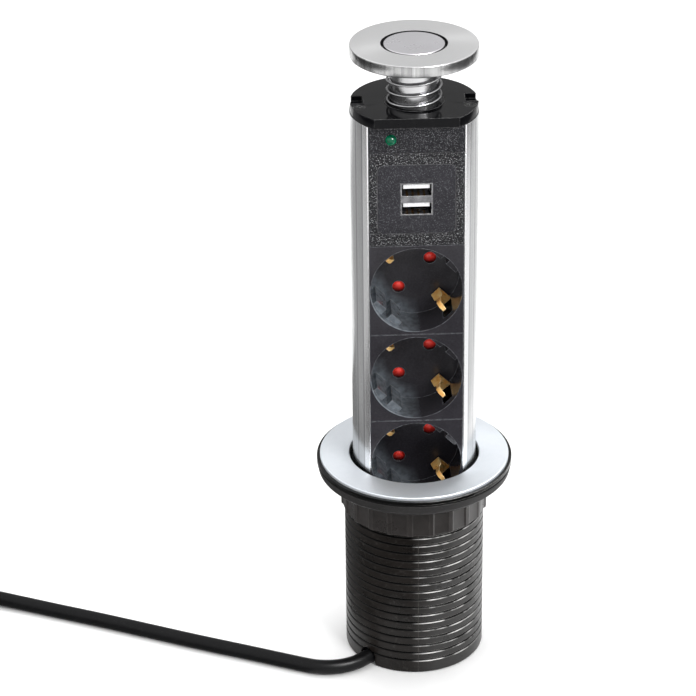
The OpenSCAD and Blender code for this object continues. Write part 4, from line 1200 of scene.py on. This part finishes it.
studio = {  # places and sizes are in metres here, but for the two floor distances
    "floorSize": 12,
    "nearFloor": 550,
    "farFloor": 1600,
    "farGlow": 0.3,
    "aim": (0, 0, 0.14),
    "worldLight": 0.78,
    "key": {"place": (0.8, -1.2, 1.3), "size": 0.55, "power": 13},
    "fill": {"place": (-1.2, -0.6, 0.9), "size": 0.8, "power": 4, "glossy": False},
    "top": {"place": (0.1, 0.4, 1.8), "size": 1.4, "power": 22, "glossy": False},
    "cards": [
        {"x": (-2.4, -0.62), "y": (-0.8, 1.4), "z": (0.0005, 0.0005), "shade": 0.06},
        {"x": (-0.62, -0.2), "y": (-0.1, 0.5), "z": (0.0005, 0.0005), "shade": 0.52},
        {"x": (0.55, 2.4), "y": (-0.7, 0.9), "z": (0.0005, 0.0005), "shade": 0.10},
        {"x": (0.2, 0.55), "y": (-0.1, 0.5), "z": (0.0005, 0.0005), "shade": 1.0},
        {"x": (-0.2, -0.05), "y": (-0.12, 0.25), "z": (0.0005, 0.0005), "shade": 0.25},
        {"x": (-0.35, 0.2), "y": (-0.48, -0.08), "z": (0.0010, 0.0010), "shade": 0.12},
        {"x": (-2.4, 0.02), "y": (2.0, 2.0), "z": (0.25, 2.6), "shade": 0.60},
        {"x": (0.02, 2.4), "y": (2.0, 2.0), "z": (0.25, 2.6), "shade": 0.62},
        {"x": (0.2, 0.92), "y": (-0.64, -0.64), "z": (0.75, 1.4), "shade": 30},
    ],
}


def makeFloor(s):
    half = s["floorSize"] / 2
    floor = newPiece("studioFloor", meshFrom("studioFloor", [
        (-half, -half, 0), (half, -half, 0), (half, half, 0), (-half, half, 0),
    ], [(0, 1, 2, 3)]))
    material, tree, shader = startMaterial("floorPaper", {"Roughness": 0.9, "Specular IOR Level": 0.1})
    speck = addRange(tree, addNoise(tree, placeInMm(tree), 0.05, 2), 0.3, 0.7, 0, 1)
    paper = addMix(tree, speck, grey(0.95) + (1,), grey(0.97) + (1,))
    tree.links.new(paper, shader.inputs["Base Color"])
    # Far from the object the lamps leave the floor dimmer, so the camera sees a little more there
    length = addNode(tree, "VectorMath", operation="LENGTH")
    tree.links.new(placeInMm(tree), length.inputs[0])
    rays = addNode(tree, "LightPath")
    far = addRange(tree, length.outputs["Value"], s["nearFloor"], s["farFloor"], 0, s["farGlow"])
    shader.inputs["Emission Color"].default_value = (1, 1, 1, 1)
    glow = addTimes(tree, far, rays.outputs["Is Camera Ray"])
    tree.links.new(glow, shader.inputs["Emission Strength"])
    floor.data.materials.append(material)


def makeWorld(s):
    world = bpy.data.worlds.new("studioWorld")
    bpy.context.scene.world = world
    world.use_nodes = True
    tree = world.node_tree
    back = tree.nodes["Background"]
    back.inputs["Color"].default_value = (1, 1, 1, 1)
    rays = addNode(tree, "LightPath")
    seen = addMath(tree, "ADD", rays.outputs["Is Camera Ray"], rays.outputs["Is Glossy Ray"])
    seen = addMath(tree, "ADD", seen, rays.outputs["Is Transmission Ray"], clamp=True)
    tree.links.new(addRange(tree, seen, 0, 1, s["worldLight"], 1.0), back.inputs["Strength"])


def makeLamp(name, s, target):
    data = bpy.data.lights.new(name, "AREA")
    data.shape = "SQUARE"
    data.size = s["size"]
    data.energy = s["power"]
    lamp = bpy.data.objects.new(name, data)
    lamp.visible_glossy = s.get("glossy", True)
    bpy.context.scene.collection.objects.link(lamp)
    place = Vector(s["place"])
    aim = (Vector(target) - place).to_track_quat("-Z", "Y").to_matrix().to_4x4()
    lamp.matrix_world = Matrix.Translation(place) @ aim


# Flat cards that lie on the floor or stand upright, seen only in glossy reflections
def makeCards(s):
    for i, c in enumerate(s["cards"]):
        left, right = c["x"]
        front, back = c["y"]
        low, high = c["z"]
        corners = [(left, front, low), (right, front, low), (right, back, high), (left, back, high)]
        name = "studioCard%d" % (i + 1)
        card = newPiece(name, meshFrom(name, corners, [(0, 1, 2, 3)]))
        material, tree, shader = startMaterial("cardPaper%d" % (i + 1), {
            "Roughness": 1.0, "Specular IOR Level": 0.0, "Base Color": (0, 0, 0, 1),
            "Emission Color": (1, 1, 1, 1), "Emission Strength": c["shade"],
        })
        card.data.materials.append(material)
        card.visible_camera = False
        card.visible_diffuse = False
        card.visible_shadow = False


makeFloor(studio)
makeWorld(studio)
for lampName in ("key", "fill", "top"):
    makeLamp(lampName + "Light", studio[lampName], studio["aim"])
makeCards(studio)
bpy.context.scene.view_settings.view_transform = "Standard"
print("studio ready")

bpy.context.view_layer.update()
